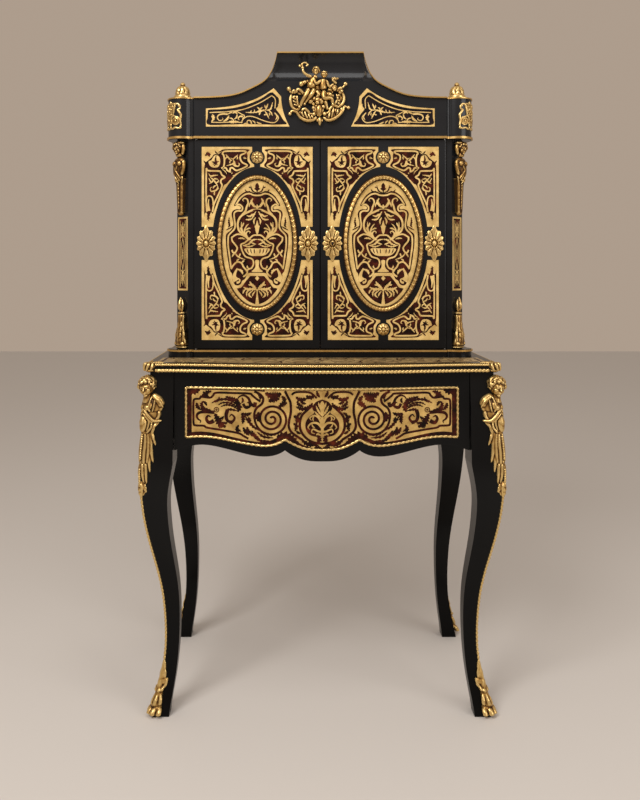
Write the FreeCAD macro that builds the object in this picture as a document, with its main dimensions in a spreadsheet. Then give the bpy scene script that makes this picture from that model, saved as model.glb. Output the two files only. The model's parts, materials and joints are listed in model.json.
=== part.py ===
"""Ebonised cabinet desk on cabriole legs, with gilt mounts and brass and shell marquetry.

+Z is up and the front faces -Y.  The origin is on the floor, at the middle of the outer box.
Lengths are millimetres.  Y positions are counted from the mid-plane of the four legs.
"""
import FreeCAD
import Part
import Sketcher
import math
import os

from FreeCAD import Vector

doc = FreeCAD.newDocument("cabinet_desk")

# Driving dimensions
DIMENSIONS = {
    "leg_axis_y": 13.25,
    "desk_height": 763.0, "top_thick": 20.0, "top_half": 372.0, "top_front": 226.0, "top_bow": 28.0,
    "top_back": 232.0, "veneer": 1.2,
    "leg_half": 374.0, "leg_depth": 220.0, "leg_block": 56.0,
    "drawer_half": 317.0, "drawer_face": 213.0, "drawer_bow": 26.0, "drawer_inside": 196.0,
    "drawer_travel": 260.0, "drawer_top": 741.0,
    "box_half": 300.0, "box_back": 150.0, "box_low": 612.5, "box_high": 725.0, "box_board": 12.0,
    "frame_half": 295.0, "frame_top": 712.0, "frame_wide": 6.0, "frame_proud": 3.5,
    "apron_thick": 20.0, "apron_face": 371.0, "rail_deep": 28.0, "rail_thick": 14.0,
    "plinth_high": 18.0, "case_front": 106.0, "case_back": 214.0, "case_half": 331.0, "board": 16.0,
    "cant": 30.0, "post_face": 100.0, "post_deep": 50.0, "side_thick": 18.0,
    "door_wide": 287.0, "door_thick": 20.0, "door_low": 783.0, "door_high": 1258.0, "door_gap": 1.0,
    "pivot_inset": 4.0, "pivot_radius": 2.5, "pivot_clear": 0.05, "pivot_long": 6.0,
    "cornice_low": 1260.0, "cornice_high": 1355.0, "cornice_front": 111.0, "cornice_thick": 27.0,
    "corner_x": 317.0, "corner_y": 78.0, "corner_radius": 33.0, "flat_half": 287.0,
    "crest_high": 1457.0, "crest_half": 98.0, "cove_low": 1391.0, "cove_deep": 13.0,
    "oval_wide": 93.0, "oval_high": 157.0, "ring_wide": 13.5, "ring_proud": 5.0,
    "panel_wide": 252.6, "panel_high": 440.0, "panel_x": 143.7, "panel_z": 1022.5,
    "oval_gap_wide": 103.0, "oval_gap_high": 175.0, "boss_gap": 17.5, "boss_rise": 196.0,
    "boss_radius": 14.0, "boss_proud": 9.0,
    "rosette_reach": 116.0, "rosette_wide": 21.5, "rosette_high": 40.5, "rosette_gap": 38.0,
    "finial_radius": 20.5, "finial_high": 41.0,
    "bead": 3.0, "upper_moulding": 4.0, "lower_moulding": 6.0,
}

sheet = doc.addObject("Spreadsheet::Sheet", "Dims")
for row, (alias, value) in enumerate(DIMENSIONS.items(), start=1):
    sheet.set(f"A{row}", alias)
    sheet.set(f"B{row}", str(value))
    sheet.setAlias(f"B{row}", alias)
doc.recompute()


def dim(alias):
    """The value of one driving dimension."""
    return float(sheet.get(alias))


AXIS = dim("leg_axis_y")
subparts = []


def keep(item, label):
    """Registers a finished object as a sub-part under its own label."""
    item.Label = label
    subparts.append(item)
    return item


def bind(item, **expressions):
    """Binds properties to spreadsheet expressions; a double underscore stands for a dot."""
    for name, text in expressions.items():
        item.setExpression(name.replace("__", "."), text)


def board(name, size, corner):
    """A plain board: its three sizes and its low corner are expressions of the sheet."""
    item = doc.addObject("Part::Box", name)
    bind(item, Length=size[0], Width=size[1], Height=size[2])
    bind(item, Placement__Base__x=corner[0], Placement__Base__z=corner[2])
    bind(item, Placement__Base__y=f"Dims.leg_axis_y + {corner[1]}")
    return item


def solid(name, shape):
    """A sub-part or tool whose shape is worked out from the sheet's values."""
    item = doc.addObject("Part::Feature", name)
    item.Shape = shape
    return item


def fuse_of(shapes):
    """One shape from several that touch or overlap."""
    joined = shapes[0].multiFuse(shapes[1:]) if len(shapes) > 1 else shapes[0]
    return joined.removeSplitter()


def cut(name, base, tools):
    """A Part::Cut of one object by a tool object, or by several fused ones."""
    tool = tools[0]
    if len(tools) > 1:
        tool = doc.addObject("Part::MultiFuse", name + "_tools")
        tool.Shapes = tools
    item = doc.addObject("Part::Cut", name)
    item.Base = base
    item.Tool = tool
    return item


def mirror_x(shape):
    return shape.mirror(Vector(0, 0, 0), Vector(1, 0, 0))


def mirror_y(shape):
    """The same shape on the other side of the legs' mid-plane."""
    return shape.mirror(Vector(0, AXIS, 0), Vector(0, 1, 0))


def at(x, y, z=0.0):
    """A point whose y is counted from the legs' mid-plane."""
    return Vector(x, y + AXIS, z)


def spline(points):
    curve = Part.BSplineCurve()
    curve.interpolate(points)
    return curve.toShape()


def lines(points):
    return [Part.LineSegment(a, b).toShape() for a, b in zip(points, points[1:])]


def prism(edges, direction):
    """A solid from a closed run of edges, pushed along a direction."""
    return Part.Face(Part.Wire(Part.__sortEdges__(edges))).extrude(direction)


def ellipsoid(centre, radii, turn=0.0):
    """A ball scaled to three radii, turned about the vertical and set at its centre."""
    scale = FreeCAD.Matrix()
    scale.scale(*radii)
    ball = Part.makeSphere(1.0).transformGeometry(scale)
    ball.rotate(Vector(0, 0, 0), Vector(0, 0, 1), turn)
    ball.translate(centre)
    return ball


def limb(start, end, start_radius, end_radius):
    """A tapered limb between two points, with a ball at its far end."""
    along = end.sub(start)
    cone = Part.makeCone(start_radius, end_radius, along.Length, start, along)
    return cone.fuse(Part.makeSphere(end_radius, end))


# Desk top

def top_outline(grow):
    """The top's plan, grown by a margin at the front and sides: a bowed front with level ends."""
    half = dim("top_half") + grow
    front = -dim("top_front") - grow
    bow = front - dim("top_bow")
    back = dim("top_back")
    left = [at(-half, front), at(-half * 0.8, front), at(-half * 0.45, (front + 2 * bow) / 3), at(0, bow)]
    right = [Vector(-p.x, p.y, 0) for p in reversed(left[:-1])]
    sides = lines([right[-1], at(half, back), at(-half, back), left[0]])
    return [spline(left + right)] + sides


def top_layer(grow, low, high):
    layer = prism(top_outline(grow), Vector(0, 0, high - low))
    layer.translate(Vector(0, 0, low))
    return layer


desk_height = dim("desk_height")
desk_under = desk_height - dim("top_thick")
slab = top_layer(0, desk_under, desk_height)

INLAY_MARGIN = -16.0
inlay_field = top_layer(INLAY_MARGIN, desk_height - dim("veneer"), desk_height)
in_front_of_case = Part.makeBox(800, 400, 40, at(-400, -400 - dim("cornice_front") - 4, desk_height - 20))
top_inlay = inlay_field.common(in_front_of_case)

UPPER_BAND = 7.0
LOWER_BAND = 8.0
upper_band = top_layer(dim("upper_moulding"), desk_height - UPPER_BAND, desk_height).cut(slab)
lower_band = top_layer(dim("lower_moulding"), desk_under, desk_under + LOWER_BAND).cut(slab)

CORNER_MOUNT_RADIUS = 15.0
mount_left = Part.makeCylinder(CORNER_MOUNT_RADIUS, dim("top_thick") + 1,
                               at(-dim("top_half") + 4, -dim("top_front") + 4, desk_under))
corner_mounts = Part.makeCompound([mount_left, mirror_x(mount_left)]).cut(slab)
upper_band = upper_band.cut(corner_mounts)
lower_band = lower_band.cut(corner_mounts)

keep(solid("desk_top", slab.cut(top_inlay)), "desk_top")
keep(solid("desk_top_inlay", top_inlay), "desk_top_inlay")
keep(solid("top_upper_moulding", upper_band), "top_upper_moulding")
keep(solid("top_lower_moulding", lower_band), "top_lower_moulding")
keep(solid("top_corner_mounts", corner_mounts), "top_corner_mounts")

# Cabriole legs: height, reach of the outer arris, and width of the section
LEG_SECTIONS = [
    (0, 365, 36), (24, 360, 34), (60, 351, 31), (105, 343, 29), (150, 339.5, 29), (200, 340, 31),
    (255, 344.5, 34.5), (300, 352, 38), (345, 362, 42), (390, 372, 46.5), (435, 380, 51), (480, 385, 56),
    (520, 386.5, 63.5), (555, 385.5, 68.5), (620, 380.5, 64.5), (690, 373.5, 57.5), (743, 368.5, 52.5),
]
SEAT_LOW = 548.0
arris_step = dim("leg_half") - dim("leg_depth")


def arris(reach, height):
    """The outer corner of the front left leg at one height."""
    return at(-reach, -(reach - arris_step), height)


def leg_section(height, reach, width):
    corner = arris(reach, height)
    steps = [(0, 0), (width, 0), (width, width), (0, width), (0, 0)]
    return Part.makePolygon([corner + Vector(x, y, 0) for x, y in steps])


leg_loft = Part.makeLoft([leg_section(*section) for section in LEG_SECTIONS], True, False)
seat_x = -dim("leg_half") + dim("leg_block")
seat_y = -dim("leg_depth") + dim("leg_block")
seats = Part.makeBox(100, 400, 300, at(seat_x, -400, SEAT_LOW)).fuse(
    Part.makeBox(400, 100, 300, at(-500, seat_y, SEAT_LOW)))
leg = leg_loft.cut(seats)

legs = {
    "front_left_leg": leg,
    "front_right_leg": mirror_x(leg),
    "back_left_leg": mirror_y(leg),
    "back_right_leg": mirror_x(mirror_y(leg)),
}
for label, shape in legs.items():
    keep(solid(label, shape), label)

OUT = Vector(-math.sqrt(0.5), -math.sqrt(0.5), 0)
SIDEWAYS = Vector(math.sqrt(0.5), -math.sqrt(0.5), 0)


def arris_at(height):
    """The outer corner at any height, between the two nearest sections."""
    for (low, reach_low, _), (high, reach_high, _) in zip(LEG_SECTIONS, LEG_SECTIONS[1:]):
        if low <= height <= high:
            share = (height - low) / (high - low)
            return arris(reach_low + share * (reach_high - reach_low), height)
    raise ValueError(height)


def oval_ring(centre, wide, deep):
    """A level oval, wide across the diagonal and deep along it."""
    oval = Part.Ellipse(Vector(0, 0, 0), max(wide, deep), min(wide, deep)).toShape()
    turn = -45.0 if wide >= deep else 45.0
    wire = Part.Wire(oval)
    wire.rotate(Vector(0, 0, 0), Vector(0, 0, 1), turn)
    wire.translate(centre)
    return wire


# Brass bead along the arris of each front leg
BEAD_LOW, BEAD_HIGH, BEAD_RADIUS = 108.0, 478.0, 3.0
bead_heights = [z for z, _, _ in LEG_SECTIONS if BEAD_LOW < z < BEAD_HIGH]
bead_heights = [BEAD_LOW] + bead_heights + [BEAD_HIGH]
bead_rings = [oval_ring(arris_at(z), BEAD_RADIUS, BEAD_RADIUS * 0.98) for z in bead_heights]
leg_bead = Part.makeLoft(bead_rings, True, False).cut(leg)
keep(solid("leg_edge_beads", Part.makeCompound([leg_bead, mirror_x(leg_bead)])), "leg_edge_beads")

# Paw shoes on the feet: a fan of toes under a leaf that climbs the arris
TOE_RADIUS = 7.5
toes = []
for place in (-1.5, -0.5, 0.5, 1.5):
    start = arris_at(14) + SIDEWAYS * (place * 7.5) - OUT * (4 + abs(place) * 6)
    start.z = 20
    tip = start + OUT * 12
    tip.z = TOE_RADIUS - 1.2
    toes.append(limb(start, tip, 9.0, TOE_RADIUS))
leaf_rings = [oval_ring(arris_at(z) - OUT * back, wide, deep)
              for z, back, wide, deep in ((10, 5, 16, 12), (30, 3, 15, 10), (55, 2, 13, 8), (85, 1, 8, 5),
                                          (104, 0.5, 3.5, 3))]
paw = fuse_of(toes + [Part.makeLoft(leaf_rings, True, False)])
above_floor = Part.makeBox(200, 200, 200, at(-450, -300, 0))
paw = paw.common(above_floor).cut(leg)
keep(solid("front_paw_shoes", Part.makeCompound([paw, mirror_x(paw)])), "front_paw_shoes")
keep(solid("back_paw_shoes", mirror_y(Part.makeCompound([paw, mirror_x(paw)]))), "back_paw_shoes")

# Draped half figures on the knees: drapery hugging both faces of the leg, a torso, a neck and a head
DRAPERY = [
    (480, 3.0, 4), (490, 4.5, 12), (508, 5.5, 14), (532, 4.0, 22), (551, 4.0, 27), (590, 4.0, 30),
    (617, 5.0, 26), (640, 6.4, 34), (660, 7.0, 36), (674, 6.0, 38), (684, 5.0, 26), (692, 4.0, 12),
]


def drapery_section(height, thick, spread):
    """A level angle piece over the arris: its thickness, and how far it reaches along each face."""
    corner = arris_at(height)
    steps = [(-thick, -thick), (spread, -thick), (spread, 1), (1, 1), (1, spread), (-thick, spread),
             (-thick, -thick)]
    return Part.makePolygon([corner + Vector(x, y, 0) for x, y in steps])


drapery = Part.makeLoft([drapery_section(*section) for section in DRAPERY], True, True)
TORSO = [(612, 1, 11, 8), (636, 2, 13, 10), (662, 3, 17, 11), (676, 3, 18, 10), (686, 3, 12, 9),
         (696, 4, 9, 9)]
torso = Part.makeLoft([oval_ring(arris_at(z) + OUT * out, wide, deep) for z, out, wide, deep in TORSO],
                      True, False)
head = ellipsoid(arris_at(714) + OUT * 4, (22.5, 21.5, 25.5), 45)
knee_bust = fuse_of([drapery, torso, head]).cut(leg)
keep(solid("left_knee_bust", knee_bust), "left_knee_bust")
keep(solid("right_knee_bust", mirror_x(knee_bust)), "right_knee_bust")

# Aprons and rails between the legs
leg_inner_y = dim("leg_depth") - dim("leg_block")
apron_top = desk_under
SIDE_APRON_CURVE = [(-1.0, 588.0), (-0.72, 594.0), (-0.36, 580.0), (0.0, 570.0)]
half_curve = [Vector(0, AXIS + share * leg_inner_y, z) for share, z in SIDE_APRON_CURVE]
side_curve = half_curve + [Vector(0, 2 * AXIS - p.y, p.z) for p in reversed(half_curve[:-1])]
side_frame = lines([side_curve[-1], at(0, leg_inner_y, apron_top), at(0, -leg_inner_y, apron_top),
                    side_curve[0]])
side_apron = prism([spline(side_curve)] + side_frame, Vector(dim("apron_thick"), 0, 0))
side_apron.translate(Vector(-dim("apron_face"), 0, 0))
keep(solid("side_aprons", Part.makeCompound([side_apron, mirror_x(side_apron)])), "side_aprons")

between_legs = "2 * (Dims.leg_half - Dims.leg_block)"
under_top = "Dims.desk_height - Dims.top_thick"
keep(board("back_apron", (between_legs, "Dims.apron_thick", "145"),
           ("-Dims.leg_half + Dims.leg_block", "Dims.leg_depth - Dims.apron_thick - 6",
            under_top + " - 145")), "back_apron")
rail_y = "(-Dims.leg_depth + Dims.leg_block - Dims.rail_deep)"
top_rail = board("front_top_rail", (between_legs, "Dims.rail_deep", "Dims.rail_thick"),
                 ("-Dims.leg_half + Dims.leg_block", rail_y, under_top + " - Dims.rail_thick"))
bottom_rail = board("front_bottom_rail", (between_legs, "Dims.rail_deep", "Dims.rail_thick"),
                    ("-Dims.leg_half + Dims.leg_block", rail_y, "Dims.box_low - Dims.rail_thick - 0.5"))
front_rails = doc.addObject("Part::Compound", "front_rails")
front_rails.Links = [top_rail, bottom_rail]
keep(front_rails, "front_rails")

# L-shaped runners carry and guide the drawer; a block on each one stops it at the back
runner_long = 2 * leg_inner_y
runner_out = -(dim("apron_face") - dim("apron_thick"))
runner_low = dim("box_low") - dim("rail_thick") - 0.5
tread = Part.makeBox(-runner_out - dim("box_half") + 14, runner_long, dim("rail_thick"),
                     at(runner_out, -leg_inner_y, runner_low))
guide = Part.makeBox(-runner_out - dim("box_half") - 1.5, runner_long, 40,
                     at(runner_out, -leg_inner_y, runner_low))
runner = fuse_of([tread, guide])
stop_low = dim("box_low") - 0.5
stop = Part.makeBox(12, 12, 24, at(-dim("box_half"), dim("box_back") + 1, stop_low))
runners = Part.makeCompound([runner, mirror_x(runner), stop, mirror_x(stop)])
keep(solid("drawer_runners", runners), "drawer_runners")

# Drawer front: a bowed board whose lower edge runs in lobes
drawer_half = dim("drawer_half")


def bow_plan(inset):
    """The drawer's bowed face in plan, set back by an inset, closed along the drawer's inside plane."""
    face = -dim("drawer_face") + inset
    bow = face - dim("drawer_bow")
    left = [at(-drawer_half, face), at(-drawer_half * 0.8, face),
            at(-drawer_half * 0.45, (face + 2 * bow) / 3), at(0, bow)]
    return left + [Vector(-p.x, p.y, 0) for p in reversed(left[:-1])]


def bowed_layer(inset, back):
    """Everything between the bowed face and a plane behind it, over the drawer's full height."""
    face = bow_plan(inset)
    closing = lines([face[-1], at(drawer_half, back), at(-drawer_half, back), face[0]])
    layer = prism([spline(face)] + closing, Vector(0, 0, 300))
    layer.translate(Vector(0, 0, 500))
    return layer


# Lobes of the lower edge from the end to the middle: cusps and low points
EDGE_LOBES = [(317, 574), (296, 580), (262, 586), (226, 583), (170, 571), (125, 565), (98, 569), (79, 579)]
EDGE_CENTRE = [(79, 579), (62, 568), (36, 558.5), (0, 556)]
FRAME_LOBES = [(295, 599), (262, 601), (226, 599), (170, 590), (125, 585), (98, 589), (79, 599)]
FRAME_CENTRE = [(79, 599), (58, 588), (34, 579.5), (0, 577)]


def lobed_outline(lobes, centre, half, high):
    """A closed outline in the XZ plane: straight above, with cusped lobes below."""
    to_left = [Vector(-x, 0, z) for x, z in lobes]
    middle = [Vector(-x, 0, z) for x, z in centre]
    middle += [Vector(x, 0, z) for x, z in reversed(centre[:-1])]
    to_right = [Vector(x, 0, z) for x, z in reversed(lobes)]
    upper = lines([to_right[-1], Vector(half, 0, high), Vector(-half, 0, high), to_left[0]])
    return [spline(to_left), spline(middle), spline(to_right)] + upper


def lobed_block(lobes, centre, half, high):
    block = prism(lobed_outline(lobes, centre, half, high), Vector(0, 400, 0))
    block.translate(Vector(0, -400, 0))
    return block


def shrink(lobes, by):
    """The same lobes raised by a margin and pulled in at the end."""
    first_x = lobes[0][0]
    return [(x - by if x == first_x and x > 200 else x, z + by) for x, z in lobes]


frame_half = dim("frame_half")
frame_top = dim("frame_top")
frame_wide = dim("frame_wide")
inlay_half = frame_half - frame_wide
board_block = bowed_layer(0, -dim("drawer_inside")).common(lobed_block(EDGE_LOBES, EDGE_CENTRE,
                                                                       drawer_half, dim("drawer_top")))
field = lobed_block(shrink(FRAME_LOBES, frame_wide), shrink(FRAME_CENTRE, frame_wide), inlay_half,
                    frame_top - frame_wide)
around = lobed_block(FRAME_LOBES, FRAME_CENTRE, frame_half, frame_top)
skin = bowed_layer(0, -dim("drawer_inside")).cut(bowed_layer(dim("veneer"), -dim("drawer_inside")))
drawer_inlay = skin.common(field)
proud = bowed_layer(-dim("frame_proud"), -dim("drawer_inside")).cut(bowed_layer(0, -dim("drawer_inside")))
rope_frame = proud.common(around).cut(field)
keep(solid("drawer_front", board_block.cut(drawer_inlay)), "drawer_front")
keep(solid("drawer_inlay", drawer_inlay), "drawer_inlay")
keep(solid("drawer_rope_frame", rope_frame), "drawer_rope_frame")

box_high = "Dims.box_high - Dims.box_low"
box_deep = "Dims.box_back + Dims.drawer_inside"
left_side = board("drawer_left_side", ("Dims.box_board", box_deep, box_high),
                  ("-Dims.box_half", "-Dims.drawer_inside", "Dims.box_low"))
right_side = board("drawer_right_side", ("Dims.box_board", box_deep, box_high),
                   ("Dims.box_half - Dims.box_board", "-Dims.drawer_inside", "Dims.box_low"))
drawer_sides = doc.addObject("Part::Compound", "drawer_sides")
drawer_sides.Links = [left_side, right_side]
keep(drawer_sides, "drawer_sides")
inside_box = "2 * (Dims.box_half - Dims.box_board)"
keep(board("drawer_back", (inside_box, "Dims.box_board", box_high),
           ("-Dims.box_half + Dims.box_board", "Dims.box_back - Dims.box_board", "Dims.box_low")),
           "drawer_back")
keep(board("drawer_bottom", (inside_box, box_deep + " - Dims.box_board", "8"),
           ("-Dims.box_half + Dims.box_board", "-Dims.drawer_inside", "Dims.box_low + 6")), "drawer_bottom")

# Plan of the upper case: a flat front, a shallow cove and a round corner
corner_x, corner_y, corner_radius = dim("corner_x"), dim("corner_y"), dim("corner_radius")


def corner_point(degrees, grow=0.0):
    angle = math.radians(degrees)
    reach = corner_radius + grow
    return at(-corner_x + reach * math.cos(angle), -corner_y + reach * math.sin(angle))


def case_outline(grow, back_left):
    """The plan of the plinth and cornice, grown by a margin at the front and sides."""
    front = -dim("cornice_front") - grow
    flat = dim("flat_half") + grow * 0.4
    side = -corner_x - corner_radius + 6 - grow
    start, end = corner_point(302, grow), corner_point(148, grow)
    cove = Part.Arc(at(-flat, front), at(-flat - 7, front + 7), start)
    round_corner = Part.Arc(start, corner_point(225, grow), end)
    left = [cove.toShape(), round_corner.toShape()]
    left += lines([end, at(side, end.y - AXIS), at(side, back_left)])
    right = [mirror_x(edge) for edge in left]
    return left + right + lines([at(-flat, front), at(flat, front)])


def case_layer(grow, low, high, back):
    side = corner_x + corner_radius - 6 + grow
    edges = case_outline(grow, back) + lines([at(-side, back), at(side, back)])
    layer = prism(edges, Vector(0, 0, high - low))
    layer.translate(Vector(0, 0, low))
    return layer


plinth_low, plinth_high = desk_height, desk_height + dim("plinth_high")
cornice_low, cornice_high = dim("cornice_low"), dim("cornice_high")
case_back = dim("case_back")
bead = dim("bead")

pivots = []
pivot_x = dim("door_gap") + dim("door_wide") - dim("pivot_inset")
pivot_y = -dim("case_front") + dim("pivot_inset")
for side in (-1, 1):
    for low in (plinth_high - dim("pivot_long"), dim("door_high") - dim("pivot_long")):
        gap = dim("door_low") - plinth_high
        pivots.append(Part.makeCylinder(dim("pivot_radius"), 2 * dim("pivot_long") + gap,
                                        at(side * pivot_x, pivot_y, low)))
pivot_pins = Part.makeCompound(pivots)
keep(solid("door_pivot_pins", pivot_pins), "door_pivot_pins")

plinth = case_layer(0, plinth_low, plinth_high, case_back)
BEAD_DROP = 1.0
plinth_band = case_layer(bead, plinth_high - 5, plinth_high - BEAD_DROP,
                         case_back).cut(case_layer(0, plinth_low, cornice_low, case_back))
keep(solid("cabinet_plinth", plinth.cut(pivot_pins)), "cabinet_plinth")
keep(solid("plinth_bead", plinth_band), "plinth_bead")

# Case boards
inner_half = "Dims.case_half - Dims.side_thick"
case_wide = f"2 * ({inner_half})"
behind_doors = "(-Dims.case_front + Dims.door_thick + 2)"
case_deep = "Dims.case_back - 14 + Dims.case_front - Dims.door_thick - 2"
floor_z = "Dims.desk_height + Dims.plinth_high"
floor = board("case_floor_blank", (case_wide, case_deep, "Dims.board"),
              (f"-({inner_half})", behind_doors, floor_z))
ceiling = board("case_ceiling_blank", (case_wide, case_deep, "Dims.board"),
                (f"-({inner_half})", behind_doors, "Dims.cornice_low - Dims.board"))
side_high = "Dims.cornice_low - Dims.desk_height - Dims.plinth_high"
side_deep = "Dims.case_back - 6 + Dims.post_deep"
left_case_side = board("left_case_side", ("Dims.side_thick", side_deep, side_high),
                       ("-Dims.case_half", "(-Dims.post_deep)", floor_z))
right_case_side = board("right_case_side", ("Dims.side_thick", side_deep, side_high),
                        (inner_half, "(-Dims.post_deep)", floor_z))
case_sides = doc.addObject("Part::Compound", "cabinet_sides")
case_sides.Links = [left_case_side, right_case_side]
keep(case_sides, "cabinet_sides")
back_high = side_high + " + Dims.cornice_high - Dims.cornice_low - 22"
keep(board("cabinet_back", (case_wide, "8", back_high),
           (f"-({inner_half})", "Dims.case_back - 14", floor_z)), "cabinet_back")

# Canted corner posts beside the doors
post_inner = dim("door_gap") * 2 + dim("door_wide")
post_face = -dim("post_face")
cant = dim("cant")
case_half = dim("case_half")
post_plan = [at(-post_inner, post_face), at(-case_half + cant, post_face), at(-case_half, post_face + cant),
             at(-case_half, -dim("post_deep")), at(-post_inner, -dim("post_deep"))]
post = prism(lines(post_plan + post_plan[:1]), Vector(0, 0, cornice_low - plinth_high))
post.translate(Vector(0, 0, plinth_high))
CANT_MIDDLE = at(-case_half + cant / 2, post_face + cant / 2)
STRIP_HALF, STRIP_LOW, STRIP_HIGH = 18.0, 915.0, 1084.0
strip = Part.makeBox(2 * STRIP_HALF, dim("veneer"), STRIP_HIGH - STRIP_LOW, Vector(-STRIP_HALF, 0, 0))
strip.rotate(Vector(0, 0, 0), Vector(0, 0, 1), -45)
strip.translate(Vector(CANT_MIDDLE.x, CANT_MIDDLE.y, STRIP_LOW))
keep(solid("left_corner_post", post.cut(strip)), "left_corner_post")
keep(solid("right_corner_post", mirror_x(post.cut(strip))), "right_corner_post")
keep(solid("post_inlays", Part.makeCompound([strip, mirror_x(strip)])), "post_inlays")

posts = Part.makeCompound([post, mirror_x(post)])
post_tool = solid("post_notches", posts)
keep(cut("cabinet_floor", floor, [post_tool]), "cabinet_floor")
keep(cut("cabinet_ceiling", ceiling, [post_tool]), "cabinet_ceiling")

# One shelf on battens
shelf_z = "0.5 * (Dims.door_low + Dims.door_high)"
shelf = board("shelf_blank", (case_wide, "Dims.case_back - 14 + Dims.post_deep", "14"),
              (f"-({inner_half})", "(-Dims.post_deep)", shelf_z))
keep(shelf, "shelf")
batten_z = shelf_z + " - 12"
left_batten = board("left_batten", ("14", "220", "12"), (f"-({inner_half})", "(-30)", batten_z))
right_batten = board("right_batten", ("14", "220", "12"), (f"{inner_half} - 14", "(-30)", batten_z))
battens = doc.addObject("Part::Compound", "shelf_battens")
battens.Links = [left_batten, right_batten]
keep(battens, "shelf_battens")

# Cornice with its raised and coved crest
crest_high, crest_half = dim("crest_high"), dim("crest_half")
CREST_CURVE = [(345, 0), (290, 0), (225, 0.02), (188, 0.08), (152, 0.23), (124, 0.40), (106, 0.70),
               (98, 1.0)]


def crest_outline(drop):
    """The crest's outline in the XZ plane, lowered by a margin; its ends are level."""
    rise = crest_high - cornice_high
    left = [Vector(-x, 0, cornice_high - drop + share * rise) for x, share in CREST_CURVE]
    right = [Vector(-p.x, 0, p.z) for p in reversed(left)]
    return left, right


def crest_block(drop, low):
    left, right = crest_outline(drop)
    ends = lines([right[-1], Vector(right[-1].x, 0, low), Vector(left[0].x, 0, low), left[0]])
    block = prism([spline(left), spline(right)] + lines([left[-1], right[0]]) + ends, Vector(0, 400, 0))
    block.translate(Vector(0, -300, 0))
    return block


cornice_front = -dim("cornice_front")
cornice_back = cornice_front + dim("cornice_thick")
cove_low, cove_deep = dim("cove_low"), dim("cove_deep")
COVE_LIP = 4.0
profile_foot = [at(0, cornice_front, cove_low), at(0, cornice_front, cornice_low),
                at(0, cornice_back, cornice_low),
                at(0, cornice_back, crest_high), at(0, cornice_front - COVE_LIP, crest_high)]
cove = Part.Arc(profile_foot[-1], at(0, cornice_front + cove_deep, cove_low + 26),
                profile_foot[0]).toShape()
crest_profile = prism(lines(profile_foot) + [cove], Vector(2 * dim("flat_half"), 0, 0))
crest_profile.translate(Vector(-dim("flat_half"), 0, 0))
crest_board = crest_profile.common(crest_block(0, cornice_low))
corner_layer = case_layer(0, cornice_low, cornice_high, -dim("post_deep"))
hollow = Part.makeBox(2 * (case_half - 10), 200, 200, at(-case_half + 10, cornice_back, cornice_low - 50))
cornice = fuse_of([corner_layer.cut(hollow), crest_board]).cut(pivot_pins)

# Socket for the door bolt under the cornice
BOLT_X, BOLT_WIDE, BOLT_THICK, BOLT_LONG = -16.0, 9.0, 3.6, 60.0
BOLT_FACE = -dim("case_front") + dim("door_thick") - BOLT_THICK - 0.4
bolt_socket = Part.makeBox(BOLT_WIDE + 1.2, BOLT_THICK + 1.2, 12,
                           at(BOLT_X - 0.6, BOLT_FACE - 0.6, cornice_low))
cornice = cornice.cut(bolt_socket)

FRIEZE_TOP = [(106, 1375), (138, 1355), (170, 1342), (211, 1333), (260, 1329)]
FRIEZE_SIDE = [(70, 1288), (81, 1312), (87, 1334), (89, 1356)]
frieze_edges = [spline([Vector(-x, 0, z) for x, z in FRIEZE_TOP]),
                spline([Vector(-x, 0, z) for x, z in FRIEZE_SIDE])]
frieze_edges += lines([Vector(-x, 0, z) for x, z in ((89, 1356), (106, 1375))])
frieze_edges += lines([Vector(-x, 0, z) for x, z in ((260, 1329), (260, 1288), (70, 1288))])
frieze_panel = prism(frieze_edges, Vector(0, dim("veneer"), 0))
frieze_panel.translate(at(0, cornice_front))
frieze_inlays = Part.makeCompound([frieze_panel, mirror_x(frieze_panel)])
keep(solid("cornice_frieze", cornice.cut(frieze_inlays)), "cornice_frieze")
keep(solid("frieze_inlays", frieze_inlays), "frieze_inlays")

return_out = corner_x + corner_radius - 6
return_board = Part.makeBox(22, case_back + dim("post_deep"), cornice_high - cornice_low,
                            at(-return_out, -dim("post_deep"), cornice_low))
keep(solid("cornice_returns", Part.makeCompound([return_board, mirror_x(return_board)])), "cornice_returns")
cover = Part.makeBox(2 * (return_out - 22), case_back - cornice_back, 12,
                     at(-return_out + 22, cornice_back, cornice_high - 22))
keep(solid("cornice_cover", cover.cut(cornice)), "cornice_cover")

base_band = case_layer(bead, cornice_low + 1, cornice_low + 6,
                       case_back).cut(case_layer(0, cornice_low, cornice_high, case_back))
keep(solid("cornice_base_bead", base_band), "cornice_base_bead")

TOP_BEAD_PROUD = 2.0
outer_layer = case_layer(TOP_BEAD_PROUD, cornice_high - bead, cornice_high, case_back)
outer_layer = outer_layer.cut(case_layer(0, cornice_low, cornice_high + 1, case_back))
front_run = Part.makeBox(2 * dim("flat_half"), 60, 40,
                         at(-dim("flat_half"), cornice_front - 50, cornice_high - 20))
outer_layer = outer_layer.cut(front_run)
crest_strip = crest_block(0, cornice_low).cut(crest_block(bead, cornice_low - 20))
crest_slice = Part.makeBox(2 * dim("flat_half"), 8, 400,
                           at(-dim("flat_half"), cornice_front - COVE_LIP - TOP_BEAD_PROUD, cornice_low))
top_bead = fuse_of([outer_layer, crest_strip.common(crest_slice).cut(cornice)])
keep(solid("cornice_top_bead", top_bead), "cornice_top_bead")

# Turned finials over the round corners
FINIAL = [(0, 0), (1.0, 0), (1.0, 0.14), (0.88, 0.22), (0.80, 0.28), (0.80, 0.45), (0.74, 0.60),
          (0.58, 0.72),
          (0.30, 0.80), (0.24, 0.88), (0.26, 0.94), (0.14, 1.0), (0, 1.0)]
BOSS = [(0, 0), (1.0, 0), (1.0, 0.30), (0.86, 0.42), (0.80, 0.36), (0.62, 0.40), (0.46, 0.80),
        (0.20, 1.0), (0, 1.0)]


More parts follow.
